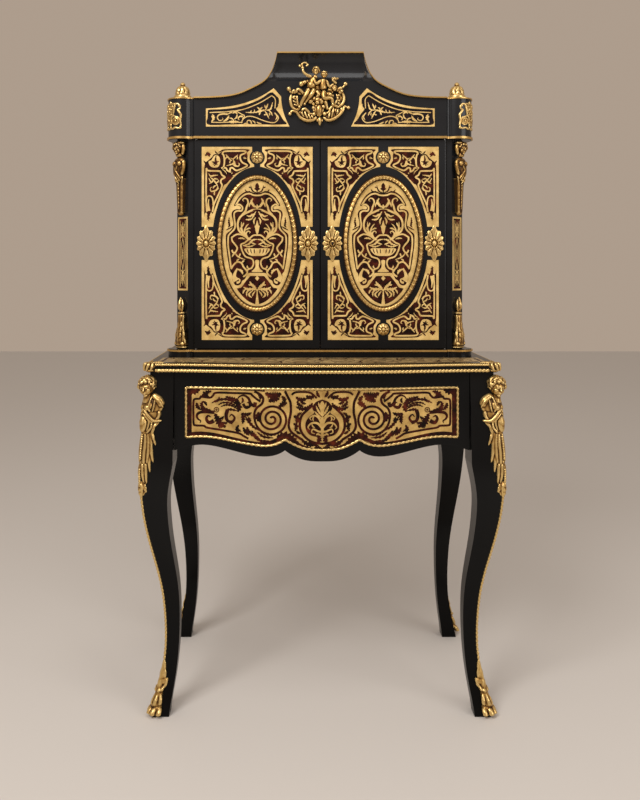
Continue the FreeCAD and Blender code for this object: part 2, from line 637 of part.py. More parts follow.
def own_plane(body, role):
    return [item for item in body.Origin.OriginFeatures if item.Role == role][0]


def turned(name, profile, radius, high):
    """A body turned about the vertical; the profile's points are shares of two sheet cells."""
    body = doc.addObject("PartDesign::Body", name)
    sketch = body.newObject("Sketcher::SketchObject", name + "_profile")
    sketch.AttachmentSupport = (own_plane(body, "XZ_Plane"), [""])
    sketch.MapMode = "FlatFace"
    count = len(profile)
    for n, (r, rise) in enumerate(profile):
        next_r, next_rise = profile[(n + 1) % count]
        start = Vector(r * dim(radius), rise * dim(high), 0)
        sketch.addGeometry(Part.LineSegment(start, Vector(next_r * dim(radius), next_rise * dim(high), 0)))
    for n in range(count):
        sketch.addConstraint(Sketcher.Constraint("Coincident", n, 2, (n + 1) % count, 1))
    for n, (r, rise) in enumerate(profile):
        for kind, share, alias, axis in (("DistanceX", r, radius, -2), ("DistanceY", rise, high, -1)):
            if share == 0:
                sketch.addConstraint(Sketcher.Constraint("PointOnObject", n, 1, axis))
                continue
            index = sketch.addConstraint(Sketcher.Constraint(kind, -1, 1, n, 1, share * dim(alias)))
            sketch.setExpression(f"Constraints[{index}]", f"{share} * Dims.{alias}")
    doc.recompute()
    revolution = body.newObject("PartDesign::Revolution", name + "_turned")
    revolution.Profile = sketch
    revolution.ReferenceAxis = (sketch, ["V_Axis"])
    revolution.Angle = 360
    doc.recompute()
    return body


finial_left = turned("finial", FINIAL, "finial_radius", "finial_high").Shape.copy()
finial_left.translate(at(-corner_x, -corner_y, cornice_high))
keep(solid("finials", Part.makeCompound([finial_left, mirror_x(finial_left)])), "finials")

# Pierced scroll plates bent around the cornice's round corners
FRET_LOW, FRET_HIGH, FRET_THICK = 1282.0, 1344.0, 3.0
fret_ring = Part.makeCylinder(corner_radius + FRET_THICK, FRET_HIGH - FRET_LOW,
                              at(-corner_x, -corner_y, FRET_LOW))
fret_ring = fret_ring.cut(Part.makeCylinder(corner_radius, 400,
                                            at(-corner_x, -corner_y, cornice_low - 100)))
fret_sector = lines([at(-corner_x, -corner_y), corner_point(163, 60), corner_point(225, 90),
                     corner_point(287, 60), at(-corner_x, -corner_y)])
fret_wedge = prism(fret_sector, Vector(0, 0, 2000))
fret = fret_ring.common(fret_wedge)
FRET_HOLES = [(225, 1327, 7), (195, 1318, 6), (255, 1318, 6), (225, 1300, 6), (203, 1296, 5),
              (247, 1296, 5)]
for degrees, height, radius in FRET_HOLES:
    outward = corner_point(degrees, 10).sub(at(-corner_x, -corner_y))
    fret = fret.cut(Part.makeCylinder(radius, 60, at(-corner_x, -corner_y, height), outward))
fret = fret.cut(cornice)
keep(solid("corner_fretwork", Part.makeCompound([fret, mirror_x(fret)])), "corner_fretwork")

# Crest mount: children playing on a scrolled bracket with a shield and a pendant leaf
FACE = -dim("cornice_front")
JOINT_SWELL = 1.08
BALL_AXIS = Vector(0.25, 0.2, 0.95)
CREST_BALLS = [
    (-8, 10, 1413, 10), (-20, 8, 1390, 9), (-22, 8.5, 1376, 9.6), (9, 8, 1403, 8), (7, 8, 1388, 8.6),
    (8, 8.4, 1374, 9), (32, 8, 1373, 8.2), (35, 6, 1358, 9.2), (-2, 4, 1331, 9.4), (-2, 4.4, 1319, 8),
    (-14, 5, 1347, 10.2), (19, 5, 1351, 9.8), (-41, 6, 1386, 6), (57, 5, 1383.5, 4.2), (-36, 8, 1425, 4.4),
    (-38, 3, 1311, 7.4), (-29, 3.2, 1311.5, 7.6), (28, 3.2, 1313.5, 7.6), (37, 3, 1314, 7.2),
    (-57, 2.6, 1358, 6), (-55, 2.8, 1347, 6.2),
]
CREST_RODS = [
    ([(-3, 4.5, 1321), (-12, 5.4, 1306.5)], 5.2, 4.3), ([(-3, 5, 1333), (-13, 6, 1345)], 5.6, 5.2),
    ([(-14, 6, 1349), (-20, 8, 1368)], 6.0, 6.4),
    ([(-9, 11, 1406), (-15, 9, 1393), (-20, 8, 1384)], 5.2, 7.4),
    ([(-19, 8, 1398), (-33, 9, 1404.5), (-39, 9, 1419), (-37, 9, 1425)], 4.2, 3.0),
    ([(-11, 10, 1393), (-6, 13, 1383), (4, 12, 1390)], 4.2, 3.2),
    ([(-22, 9, 1388), (-41, 7, 1386)], 4.5, 4.0),
    ([(-26, 9, 1371), (-37, 14, 1350), (-45, 8, 1333)], 6.5, 3.4),
    ([(-16, 9, 1371), (-25, 15, 1353), (-36, 9, 1337)], 6.5, 3.4),
    ([(9, 9, 1366), (13, 14, 1350), (27, 10, 1347), (27, 8, 1335)], 6.5, 3.4),
    ([(9, 8, 1392), (28, 8, 1385), (31, 7, 1395), (39, 6, 1394)], 4.0, 2.6),
    ([(36, 7, 1366), (52, 6, 1377), (57, 6, 1383.5)], 4.5, 3.0),
    ([(-71, 4, 1377), (-69, 4, 1362), (-69, 4, 1347), (-63, 4, 1332), (-50, 5, 1322)], 3.6, 4.4),
    ([(45, 5, 1366), (53, 4, 1358), (54, 4, 1348), (50, 4, 1337), (38, 5, 1326)], 3.8, 4.4),
    ([(-70, 4, 1317), (-56, 5, 1317), (-45, 5, 1306), (-27, 6, 1300), (-6, 6, 1304)], 3.6, 5.0),
    ([(62, 4, 1331), (52, 5, 1321), (39, 5, 1309), (24, 6, 1300), (4, 6, 1304)], 3.6, 5.0),
    ([(-69, 4, 1345), (-50, 5, 1360), (-28, 6, 1366)], 4.0, 5.0),
    ([(-1, 5, 1302), (-1.5, 4, 1291)], 4.6, 2.6),
]
figures = [Part.makeSphere(radius, at(x, FACE - out, z), BALL_AXIS) for x, out, z, radius in CREST_BALLS]
for run, start_radius, end_radius in CREST_RODS:
    steps = len(run) - 1
    for n, ((x0, out0, z0), (x1, out1, z1)) in enumerate(zip(run, run[1:])):
        thick = start_radius + (end_radius - start_radius) * n / steps
        thin = start_radius + (end_radius - start_radius) * (n + 1) / steps - 0.1
        start, end = at(x0, FACE - out0, z0), at(x1, FACE - out1, z1)
        figures.append(Part.makeCone(thick, thin, end.sub(start).Length, start, end.sub(start)))
        figures.append(Part.makeSphere(JOINT_SWELL * thin, end, BALL_AXIS))
frieze_plane = Part.makeBox(400, 60, 300, at(-200, FACE, 1200))
crest_mount = fuse_of(figures).cut(frieze_plane)
keep(solid("crest_mount", crest_mount), "crest_mount")

# Half figures at the head of the canted posts and leaves at their foot
POST_FIGURE = [(1087, 4, 5, 5), (1093, 5, 10, 8), (1110, 5, 10, 8), (1140, 6, 10.5, 8.5), (1163, 7, 11, 9),
               (1172, 8, 15, 11), (1190, 9, 16, 12), (1207, 9, 17, 12), (1216, 8, 16, 10), (1228, 9, 8, 8)]
POST_LEAF = [(plinth_high, 3, 17, 10), (793, 4, 19, 12), (806, 4, 16, 10), (825, 3, 11.5, 8),
             (855, 3, 10, 7),
             (866, 3, 7, 6), (882, 3, 7.5, 6.5), (894, 2, 6, 5), (901, 1.5, 3, 2.5)]


def on_cant(height, out):
    return CANT_MIDDLE + OUT * out + Vector(0, 0, height)


def cant_loft(sections):
    return Part.makeLoft([oval_ring(on_cant(z, out), wide, deep) for z, out, wide, deep in sections],
                         True, False)


post_head = ellipsoid(on_cant(1241, 11), (14, 13, 16), 45)
post_figure = fuse_of([cant_loft(POST_FIGURE), post_head]).cut(post)
post_leaf = cant_loft(POST_LEAF).cut(post)
keep(solid("post_figures", Part.makeCompound([post_figure, mirror_x(post_figure)])), "post_figures")
keep(solid("post_foot_leaves", Part.makeCompound([post_leaf, mirror_x(post_leaf)])), "post_foot_leaves")

# Doors: a flat board, rounded about its pivots at the outer front edge
DOOR_FACE = -dim("case_front")


def door_blank(name):
    body = doc.addObject("PartDesign::Body", name)
    sketch = body.newObject("Sketcher::SketchObject", name + "_plan")
    sketch.AttachmentSupport = (own_plane(body, "XY_Plane"), [""])
    sketch.MapMode = "FlatFace"
    outer, inner = -dim("door_gap") - dim("door_wide"), -dim("door_gap")
    front, back = AXIS + DOOR_FACE, AXIS + DOOR_FACE + dim("door_thick")
    inset = dim("pivot_inset")
    corners = [(outer + inset, front), (inner, front), (inner, back), (outer, back), (outer, front + inset)]
    for (x0, y0), (x1, y1) in zip(corners, corners[1:]):
        sketch.addGeometry(Part.LineSegment(Vector(x0, y0, 0), Vector(x1, y1, 0)))
    pivot = Part.Circle(Vector(outer + inset, front + inset, 0), Vector(0, 0, 1), inset)
    sketch.addGeometry(Part.ArcOfCircle(pivot, math.pi, 1.5 * math.pi))
    for first, second in ((0, 1), (1, 2), (2, 3)):
        sketch.addConstraint(Sketcher.Constraint("Coincident", first, 2, second, 1))
    for line, kind in ((0, "Horizontal"), (1, "Vertical"), (2, "Horizontal"), (3, "Vertical")):
        sketch.addConstraint(Sketcher.Constraint(kind, line))
    sketch.addConstraint(Sketcher.Constraint("Tangent", 3, 2, 4, 1))
    sketch.addConstraint(Sketcher.Constraint("Tangent", 4, 2, 0, 1))
    sizes = (
        ("DistanceX", (-1, 1, 0, 2), inner, "-Dims.door_gap"),
        ("DistanceY", (-1, 1, 0, 2), front, "Dims.leg_axis_y - Dims.case_front"),
        ("DistanceY", (-1, 1, 1, 2), back, "Dims.leg_axis_y - Dims.case_front + Dims.door_thick"),
        ("DistanceX", (-1, 1, 2, 2), outer, "-Dims.door_gap - Dims.door_wide"),
        ("Radius", (4,), inset, "Dims.pivot_inset"),
    )
    for kind, places, value, text in sizes:
        index = sketch.addConstraint(Sketcher.Constraint(kind, *places, value))
        sketch.setExpression(f"Constraints[{index}]", text)
    sketch.setExpression(".AttachmentOffset.Base.z", "Dims.door_low")
    doc.recompute()
    pad = body.newObject("PartDesign::Pad", name + "_pad")
    pad.Profile = sketch
    pad.setExpression("Length", "Dims.door_high - Dims.door_low")
    doc.recompute()
    return body


def upright_oval(wide, high, centre, deep):
    """An oval in the XZ plane pushed along Y."""
    oval = Part.Ellipse(centre + Vector(0, 0, high), centre + Vector(wide, 0, 0), centre)
    return Part.Face(Part.Wire(oval.toShape())).extrude(Vector(0, deep, 0))


panel_x, panel_z = -dim("panel_x"), dim("panel_z")
veneer = dim("veneer")
panel_wide, panel_high = dim("panel_wide"), dim("panel_high")
panel_centre = at(panel_x, DOOR_FACE, panel_z)
INNER_NECK, OUTER_NECK = 7.0, 11.5
spandrels = Part.makeBox(panel_wide, veneer, panel_high,
                         panel_centre - Vector(panel_wide / 2, 0, panel_high / 2))
spandrels = spandrels.cut(upright_oval(dim("oval_gap_wide"), dim("oval_gap_high"), panel_centre, 20))
boss_rise, rosette_gap = dim("boss_rise"), dim("rosette_gap")
for way in (-1, 1):
    boss_centre = panel_centre + Vector(0, 0, way * boss_rise)
    spandrels = spandrels.cut(Part.makeCylinder(dim("boss_gap"), 20, boss_centre, Vector(0, 1, 0)))
    outer_neck = Part.makeBox(2 * OUTER_NECK, 20, 40, boss_centre - Vector(OUTER_NECK, 0, 20 - way * 20))
    spandrels = spandrels.cut(outer_neck)
spandrels = spandrels.cut(Part.makeBox(2 * INNER_NECK, 20, 2 * boss_rise,
                                       panel_centre - Vector(INNER_NECK, 0, boss_rise)))
spandrels = spandrels.cut(Part.makeBox(panel_wide, 20, 2 * rosette_gap,
                                       panel_centre - Vector(panel_wide / 2, 0, rosette_gap)))
oval_wide, oval_high = dim("oval_wide"), dim("oval_high")
ring_wide, ring_proud = dim("ring_wide"), dim("ring_proud")
oval_field = upright_oval(oval_wide - ring_wide, oval_high - ring_wide, panel_centre, veneer)
door_inlay = Part.makeCompound(spandrels.Solids + [oval_field])
ring_centre = panel_centre - Vector(0, ring_proud, 0)
oval_ring_mount = upright_oval(oval_wide, oval_high, ring_centre, ring_proud)
oval_ring_mount = oval_ring_mount.cut(upright_oval(oval_wide - ring_wide, oval_high - ring_wide,
                                                   ring_centre, ring_proud))

PETALS, PETAL_DEEP, ROSETTE_THICK = 10, 0.16, 2.5
ROSETTE_STEPS = 8 * PETALS


def rosette(centre):
    """A leafy oval plate under a low dome: scalloped all round, its top and bottom leaves drawn out."""
    points = []
    for n in range(ROSETTE_STEPS):
        angle = 2 * math.pi * n / ROSETTE_STEPS
        share = 1 - PETAL_DEEP - PETAL_DEEP * math.cos(PETALS * angle)
        waist = 0.70 + 0.30 * abs(math.sin(angle)) ** 3
        points.append(Vector(dim("rosette_wide") * share * math.cos(angle), 0,
                             dim("rosette_high") * share * waist * math.sin(angle)))
    edge = Part.BSplineCurve()
    edge.interpolate(points, PeriodicFlag=True)
    plate = Part.Face(Part.Wire(edge.toShape())).extrude(Vector(0, -ROSETTE_THICK, 0))
    plate.translate(centre)
    dome = ellipsoid(centre, (dim("rosette_wide") * 0.62, 5.0, dim("rosette_high") * 0.50))
    behind = Part.makeBox(200, 40, 200, centre - Vector(100, 0, 100))
    return plate.fuse(dome).cut(behind)


reach = Vector(dim("rosette_reach"), 0, 0)
outer_rosette, inner_rosette = rosette(panel_centre - reach), rosette(panel_centre + reach)
boss_blank = turned("boss", BOSS, "boss_radius", "boss_proud").Shape.copy()
boss_blank.rotate(Vector(0, 0, 0), Vector(1, 0, 0), 90)
bosses = []
for way in (-1, 1):
    placed = boss_blank.copy()
    placed.translate(panel_centre + Vector(0, 0, way * boss_rise))
    bosses.append(placed)

bores = []
for low in (dim("door_low"), dim("door_high") - dim("pivot_long") - 1):
    bores.append(Part.makeCylinder(dim("pivot_radius") + dim("pivot_clear"), dim("pivot_long") + 1,
                                   at(-pivot_x, pivot_y, low)))
pivot_bores = Part.makeCompound(bores)

# Lock in the right door with its sliding bolt, and the strike in the left door
LOCK_WIDE, LOCK_THICK, LOCK_HIGH = 45.0, 8.0, 76.0
BOLT_HIGH, BOLT_DEEP, BOLT_REACH, BOLT_PLAY = 20.0, 4.0, 32.0, 0.3
free_edge = dim("door_gap")
door_back = DOOR_FACE + dim("door_thick")
lock_blank = Part.makeBox(LOCK_WIDE, LOCK_THICK, LOCK_HIGH,
                          at(free_edge, door_back - LOCK_THICK, panel_z - LOCK_HIGH / 2))
bolt_y, bolt_z = door_back - LOCK_THICK / 2 - BOLT_DEEP / 2, panel_z - BOLT_HIGH / 2
lock_bolt = Part.makeBox(BOLT_REACH, BOLT_DEEP, BOLT_HIGH, at(free_edge + 0.5, bolt_y, bolt_z))
channel = Part.makeBox(LOCK_WIDE - 3, BOLT_DEEP + 2 * BOLT_PLAY, BOLT_HIGH + 2 * BOLT_PLAY,
                       at(free_edge, bolt_y - BOLT_PLAY, bolt_z - BOLT_PLAY))
strike = Part.makeBox(12, BOLT_DEEP + 1.6, BOLT_HIGH + 1.6, at(-free_edge - 12, bolt_y - 0.8, bolt_z - 0.8))
key_x = -panel_x - dim("rosette_reach")
key_tool = Part.makeCylinder(2.8, 30, at(key_x, door_back - LOCK_THICK - 30, panel_z + 2), Vector(0, 1, 0))
key_tool = key_tool.fuse(Part.makeBox(2.6, 30, 11,
                                      at(key_x - 1.3, door_back - LOCK_THICK - 30, panel_z - 9)))

# Flush bolt let into the back of the left door at its head
bolt_top = dim("door_high") - 0.5
flush_bolt = Part.makeBox(BOLT_WIDE, BOLT_THICK, BOLT_LONG, at(BOLT_X, BOLT_FACE, bolt_top - BOLT_LONG))
bolt_channel = Part.makeBox(BOLT_WIDE + 0.8, BOLT_THICK + 1.2, BOLT_LONG + 30,
                            at(BOLT_X - 0.4, BOLT_FACE - 0.4, bolt_top - BOLT_LONG))

left_tools = solid("left_door_tools", Part.makeCompound(door_inlay.Solids + [pivot_bores, strike,
                                                                             bolt_channel]))
right_inlay = mirror_x(door_inlay)
right_tools = solid("right_door_tools", Part.makeCompound(right_inlay.Solids + [mirror_x(pivot_bores),
                                                                                lock_blank, key_tool]))
left_blank = door_blank("left_door_blank")
right_blank = doc.addObject("Part::Mirroring", "right_door_blank")
right_blank.Source = left_blank
right_blank.Normal = Vector(1, 0, 0)
keep(cut("left_door", left_blank, [left_tools]), "left_door")
keep(cut("right_door", right_blank, [right_tools]), "right_door")
keep(solid("left_door_inlay", door_inlay), "left_door_inlay")
keep(solid("right_door_inlay", right_inlay), "right_door_inlay")
keep(solid("left_oval_ring", oval_ring_mount), "left_oval_ring")
keep(solid("right_oval_ring", mirror_x(oval_ring_mount)), "right_oval_ring")
keep(solid("left_door_rosettes", Part.makeCompound([outer_rosette, inner_rosette])), "left_door_rosettes")
right_rosettes = Part.makeCompound([mirror_x(outer_rosette), mirror_x(inner_rosette).cut(key_tool)])
keep(solid("right_door_rosettes", right_rosettes), "right_door_rosettes")
keep(solid("left_door_bosses", Part.makeCompound(bosses)), "left_door_bosses")
keep(solid("right_door_bosses", mirror_x(Part.makeCompound(bosses))), "right_door_bosses")
keep(solid("lock_case", lock_blank.cut(channel)), "lock_case")
keep(solid("lock_bolt", lock_bolt), "lock_bolt")
keep(solid("flush_bolt", flush_bolt), "flush_bolt")

# Check and write every sub-part
doc.recompute()
broken = [item.Name for item in doc.Objects if "Invalid" in item.State or "Error" in item.State]
if broken:
    raise RuntimeError(f"objects with errors: {broken}")
os.makedirs("parts", exist_ok=True)
for item in subparts:
    shape = item.Shape
    if shape.isNull() or not shape.isValid() or not shape.Solids:
        raise RuntimeError(f"{item.Label} has no valid solid")
    shape.exportStep(f"parts/{item.Label}.step")
whole = Part.makeCompound([item.Shape for item in subparts]).BoundBox
print(len(subparts), "sub-parts; box", [round(v, 2) for v in (whole.XMin, whole.XMax, whole.YMin,
                                                              whole.YMax, whole.ZMin, whole.ZMax)])
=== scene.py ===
"""Cabinet desk in black polished wood with cut-brass marquetry and gilt mounts.

Lengths are millimetres until a mesh is made.  +Z is up and the front faces -Y.
"""
import json
import math

import bpy
import numpy as np
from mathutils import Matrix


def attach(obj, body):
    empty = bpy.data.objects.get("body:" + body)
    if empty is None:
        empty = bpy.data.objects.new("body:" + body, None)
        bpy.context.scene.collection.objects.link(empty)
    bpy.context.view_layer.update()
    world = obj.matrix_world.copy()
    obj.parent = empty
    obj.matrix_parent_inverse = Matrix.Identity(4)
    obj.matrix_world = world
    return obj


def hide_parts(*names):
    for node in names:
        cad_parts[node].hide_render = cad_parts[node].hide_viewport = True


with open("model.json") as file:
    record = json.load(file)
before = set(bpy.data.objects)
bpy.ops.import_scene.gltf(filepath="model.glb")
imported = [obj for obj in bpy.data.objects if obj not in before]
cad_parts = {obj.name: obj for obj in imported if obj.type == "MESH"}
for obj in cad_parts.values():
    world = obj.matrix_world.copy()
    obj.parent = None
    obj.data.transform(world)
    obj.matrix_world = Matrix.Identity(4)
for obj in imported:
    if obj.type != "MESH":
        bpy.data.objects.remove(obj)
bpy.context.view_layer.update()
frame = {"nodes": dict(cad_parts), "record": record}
MM = 0.001
BUMP_DEPTH = 0.0006
LEG_MID_Y = 13.25


class Socket:
    """One shader value; arithmetic on it adds Math nodes to its own finish."""

    def __init__(self, finish, link):
        self.finish = finish
        self.link = link

    def _math(self, operation, other):
        return self.finish.node("ShaderNodeMath", {"operation": operation}, {0: self, 1: other})

    def __add__(self, other):
        return self._math("ADD", other)

    __radd__ = __add__

    def __mul__(self, other):
        return self._math("MULTIPLY", other)

    __rmul__ = __mul__


class Finish:
    """A material with one principled shader; node() is the only way a node is added."""

    def __init__(self, name, **constants):
        self.material = bpy.data.materials.new(name)
        self.material.use_nodes = True
        self.tree = self.material.node_tree
        self.shader = self.tree.nodes["Principled BSDF"]
        for socket, value in constants.items():
            self.shader.inputs[socket.replace("_", " ")].default_value = value

    def node(self, kind, settings=None, inputs=None, output=0):
        """Adds a node with its settings and its linked or plain inputs, and gives one of its outputs."""
        made = self.tree.nodes.new(kind)
        for name, value in (settings or {}).items():
            if name == "stops":
                ramp = made.color_ramp.elements
                while len(ramp) < len(value):
                    ramp.new(0.5)
                for stop, (place, colour) in zip(ramp, value):
                    stop.position = place
                    stop.color = (*colour, 1.0)
            else:
                setattr(made, name, value)
        for name, value in (inputs or {}).items():
            if isinstance(value, Socket):
                self.tree.links.new(value.link, made.inputs[name])
            else:
                made.inputs[name].default_value = value
        return Socket(self, made.outputs[output])

    def feed(self, socket, value):
        """Links a value to an input of the shader."""
        self.tree.links.new(value.link, self.shader.inputs[socket])

    def place(self):
        """The object's own coordinates."""
        return self.node("ShaderNodeTexCoord", output="Object")

    def noise(self, scale, detail, stretch=(1.0, 1.0, 1.0), rough=0.55):
        """Cloud noise on the object's own coordinates; scale counts per metre."""
        mapped = self.node("ShaderNodeMapping", {}, {"Vector": self.place(), "Scale": stretch})
        inputs = {"Vector": mapped, "Scale": scale, "Detail": detail, "Roughness": rough}
        return self.node("ShaderNodeTexNoise", {}, inputs)

    def ramp(self, value, *stops):
        """A colour run through (place, colour) stops."""
        return self.node("ShaderNodeValToRGB", {"stops": stops}, {"Fac": value})

    def bump(self, height, strength):
        """Fine relief from a height value."""
        inputs = {"Height": height, "Strength": strength, "Distance": BUMP_DEPTH}
        self.feed("Normal", self.node("ShaderNodeBump", {}, inputs))


def black_polish():
    """Black French polish with faint clouds and fine grain, with painted shade toward the feet and painted
    light toward the crest.
    """
    finish = Finish("black_polish", Specular_IOR_Level=0.1, Coat_Roughness=0.12)
    cloud = finish.noise(9.0, 4.0)
    grain = finish.noise(60.0, 2.0, (1.0, 1.0, 0.08))
    height = finish.node("ShaderNodeSeparateXYZ", {}, {"Vector": finish.place()}, "Z")
    # Painted light from above: the colour pales with height, near black at the feet and palest and a little
    # blue at the crest
    cloud_and_painted_light = 0.3 * cloud + 0.5 * height
    stops = (0.25, (0.001, 0.001, 0.001)), (0.52, (0.003, 0.003, 0.0032)), (0.80, (0.0125, 0.013, 0.0145))
    finish.feed("Base Color", finish.ramp(cloud_and_painted_light, *stops))
    finish.feed("Coat Weight", 0.03 + 0.28 * height)
    finish.feed("Roughness", 0.22 + 0.10 * cloud + 0.05 * grain)
    finish.bump(grain, 0.06)
    return finish.material


def gilt_cast(name, age):
    """Old gilding on cast bronze: painted highlights where it stands out, and in the hollows each piece marks
    brown patina with painted shade.
    """
    finish = Finish(name, Metallic=0.8)
    cloud = finish.noise(70.0, 3.0)
    hollow = finish.node("ShaderNodeAttribute", {"attribute_name": "hollow"}, output="Fac")
    # The marks give patina in fine hollows, painted shade in the broad hollows between parts and painted
    # highlights where a piece stands out
    tone_and_painted_light = hollow * 3.4 + cloud * 0.35 + age
    bright, mellow = (0.20, (0.70, 0.49, 0.19)), (0.42, (0.46, 0.265, 0.072))
    brown, dark = (0.64, (0.165, 0.078, 0.020)), (0.90, (0.04, 0.018, 0.006))
    finish.feed("Base Color", finish.ramp(tone_and_painted_light, bright, mellow, brown, dark))
    finish.feed("Roughness", 0.26 + 0.16 * cloud + 0.3 * hollow)
    return finish.material


def plain_wood():
    """Waxed secondary wood with straight grain along the boards."""
    finish = Finish("plain_wood")
    grain = finish.noise(26.0, 5.0, (0.12, 1.0, 1.0))
    finish.feed("Base Color", finish.ramp(grain, (0.3, (0.16, 0.075, 0.032)), (0.7, (0.30, 0.16, 0.075))))
    finish.feed("Roughness", 0.42 + 0.2 * grain)
    return finish.material


def bright_steel():
    """Bright steel with fine upright scratches."""
    finish = Finish("bright_steel", Metallic=1.0)
    scratch = finish.noise(300.0, 2.0, (1.0, 1.0, 0.05))
    finish.feed("Base Color", finish.ramp(scratch, (0.2, (0.30, 0.29, 0.28)), (0.8, (0.48, 0.47, 0.45))))
    finish.feed("Roughness", 0.28 + 0.15 * scratch)
    return finish.material


finishes = {
    "ebonised_wood": black_polish(),
    "plain_wood": plain_wood(),
    "gilt_bronze": gilt_cast("gilt_cast", 0.34),
    "brass_line": gilt_cast("gilt_line", 0.18),
    "marquetry": gilt_cast("gilt_sheet", 0.18),
    "steel": bright_steel(),
}
for part in frame["record"]["subparts"]:
    node = frame["nodes"][part["node"]]
    node.data.materials.clear()
    node.data.materials.append(finishes[part["material_slot"]])


def smooth_path(points, closed=False, per_span=7):
    """A smooth run through given points: cubic spans whose slopes come from each point's neighbours."""
    p = np.asarray(points, float)
    if closed:
        starts, ends = p, np.roll(p, -1, 0)
        start_slope = (ends - np.roll(p, 1, 0)) / 2
        end_slope = np.roll(start_slope, -1, 0)
    else:
        padded = np.vstack([2 * p[0] - p[1], p, 2 * p[-1] - p[-2]])
        slope = (padded[2:] - padded[:-2]) / 2
        starts, ends, start_slope, end_slope = p[:-1], p[1:], slope[:-1], slope[1:]
    t = np.linspace(0, 1, per_span, endpoint=False)[None, :, None]
    a, b, c, d = (q[:, None, :] for q in (starts, ends, start_slope, end_slope))
    run = ((2 * t**3 - 3 * t**2 + 1) * a + (3 * t**2 - 2 * t**3) * b
           + (t**3 - 2 * t**2 + t) * c + (t**3 - t**2) * d)
    run = run.reshape(-1, p.shape[1])
    return run if closed else np.vstack([run, p[-1:]])


def volute(centre, start_radius, end_radius, start_turn, turns, count):
    """Points of a spiral whose radius shrinks evenly with the turned angle; turns count in full circles."""
    share = np.linspace(0, 1, count)
    angle = 2 * math.pi * (start_turn + turns * share)
    radius = start_radius + (end_radius - start_radius) * share
    return np.stack([centre[0] + radius * np.cos(angle), centre[1] + radius * np.sin(angle)], 1)


# Heights in the marquetry: the rise from one cut shape to the next, and how deep they all reach
LAYER_STEP = 0.003
SUNK = -0.05
# Lowest lift of a dark field, of brass laid in it, of shell laid in bowed brass, and of what lies on those
FIELD_LIFT, CUT_LIFT, BOWED_LIFT = 0.06, 0.12, 0.14
CORNER_TOP_LIFT, OVAL_TOP_LIFT, DRAWER_TOP_LIFT = 0.3, 0.4, 0.7
# Share of a stroke's drawn width that is cut
STROKE_SHARE = {"brass": 0.84, "shell": 1.04}
# Widths along a leaf's edge, from the root of each barb to its tip
LEAF_BARBS = np.array((0.6, 0.9, 1.2))


def turned_over(faces):
    """The same faces, looking the other way."""
    return [face[::-1] for face in faces]


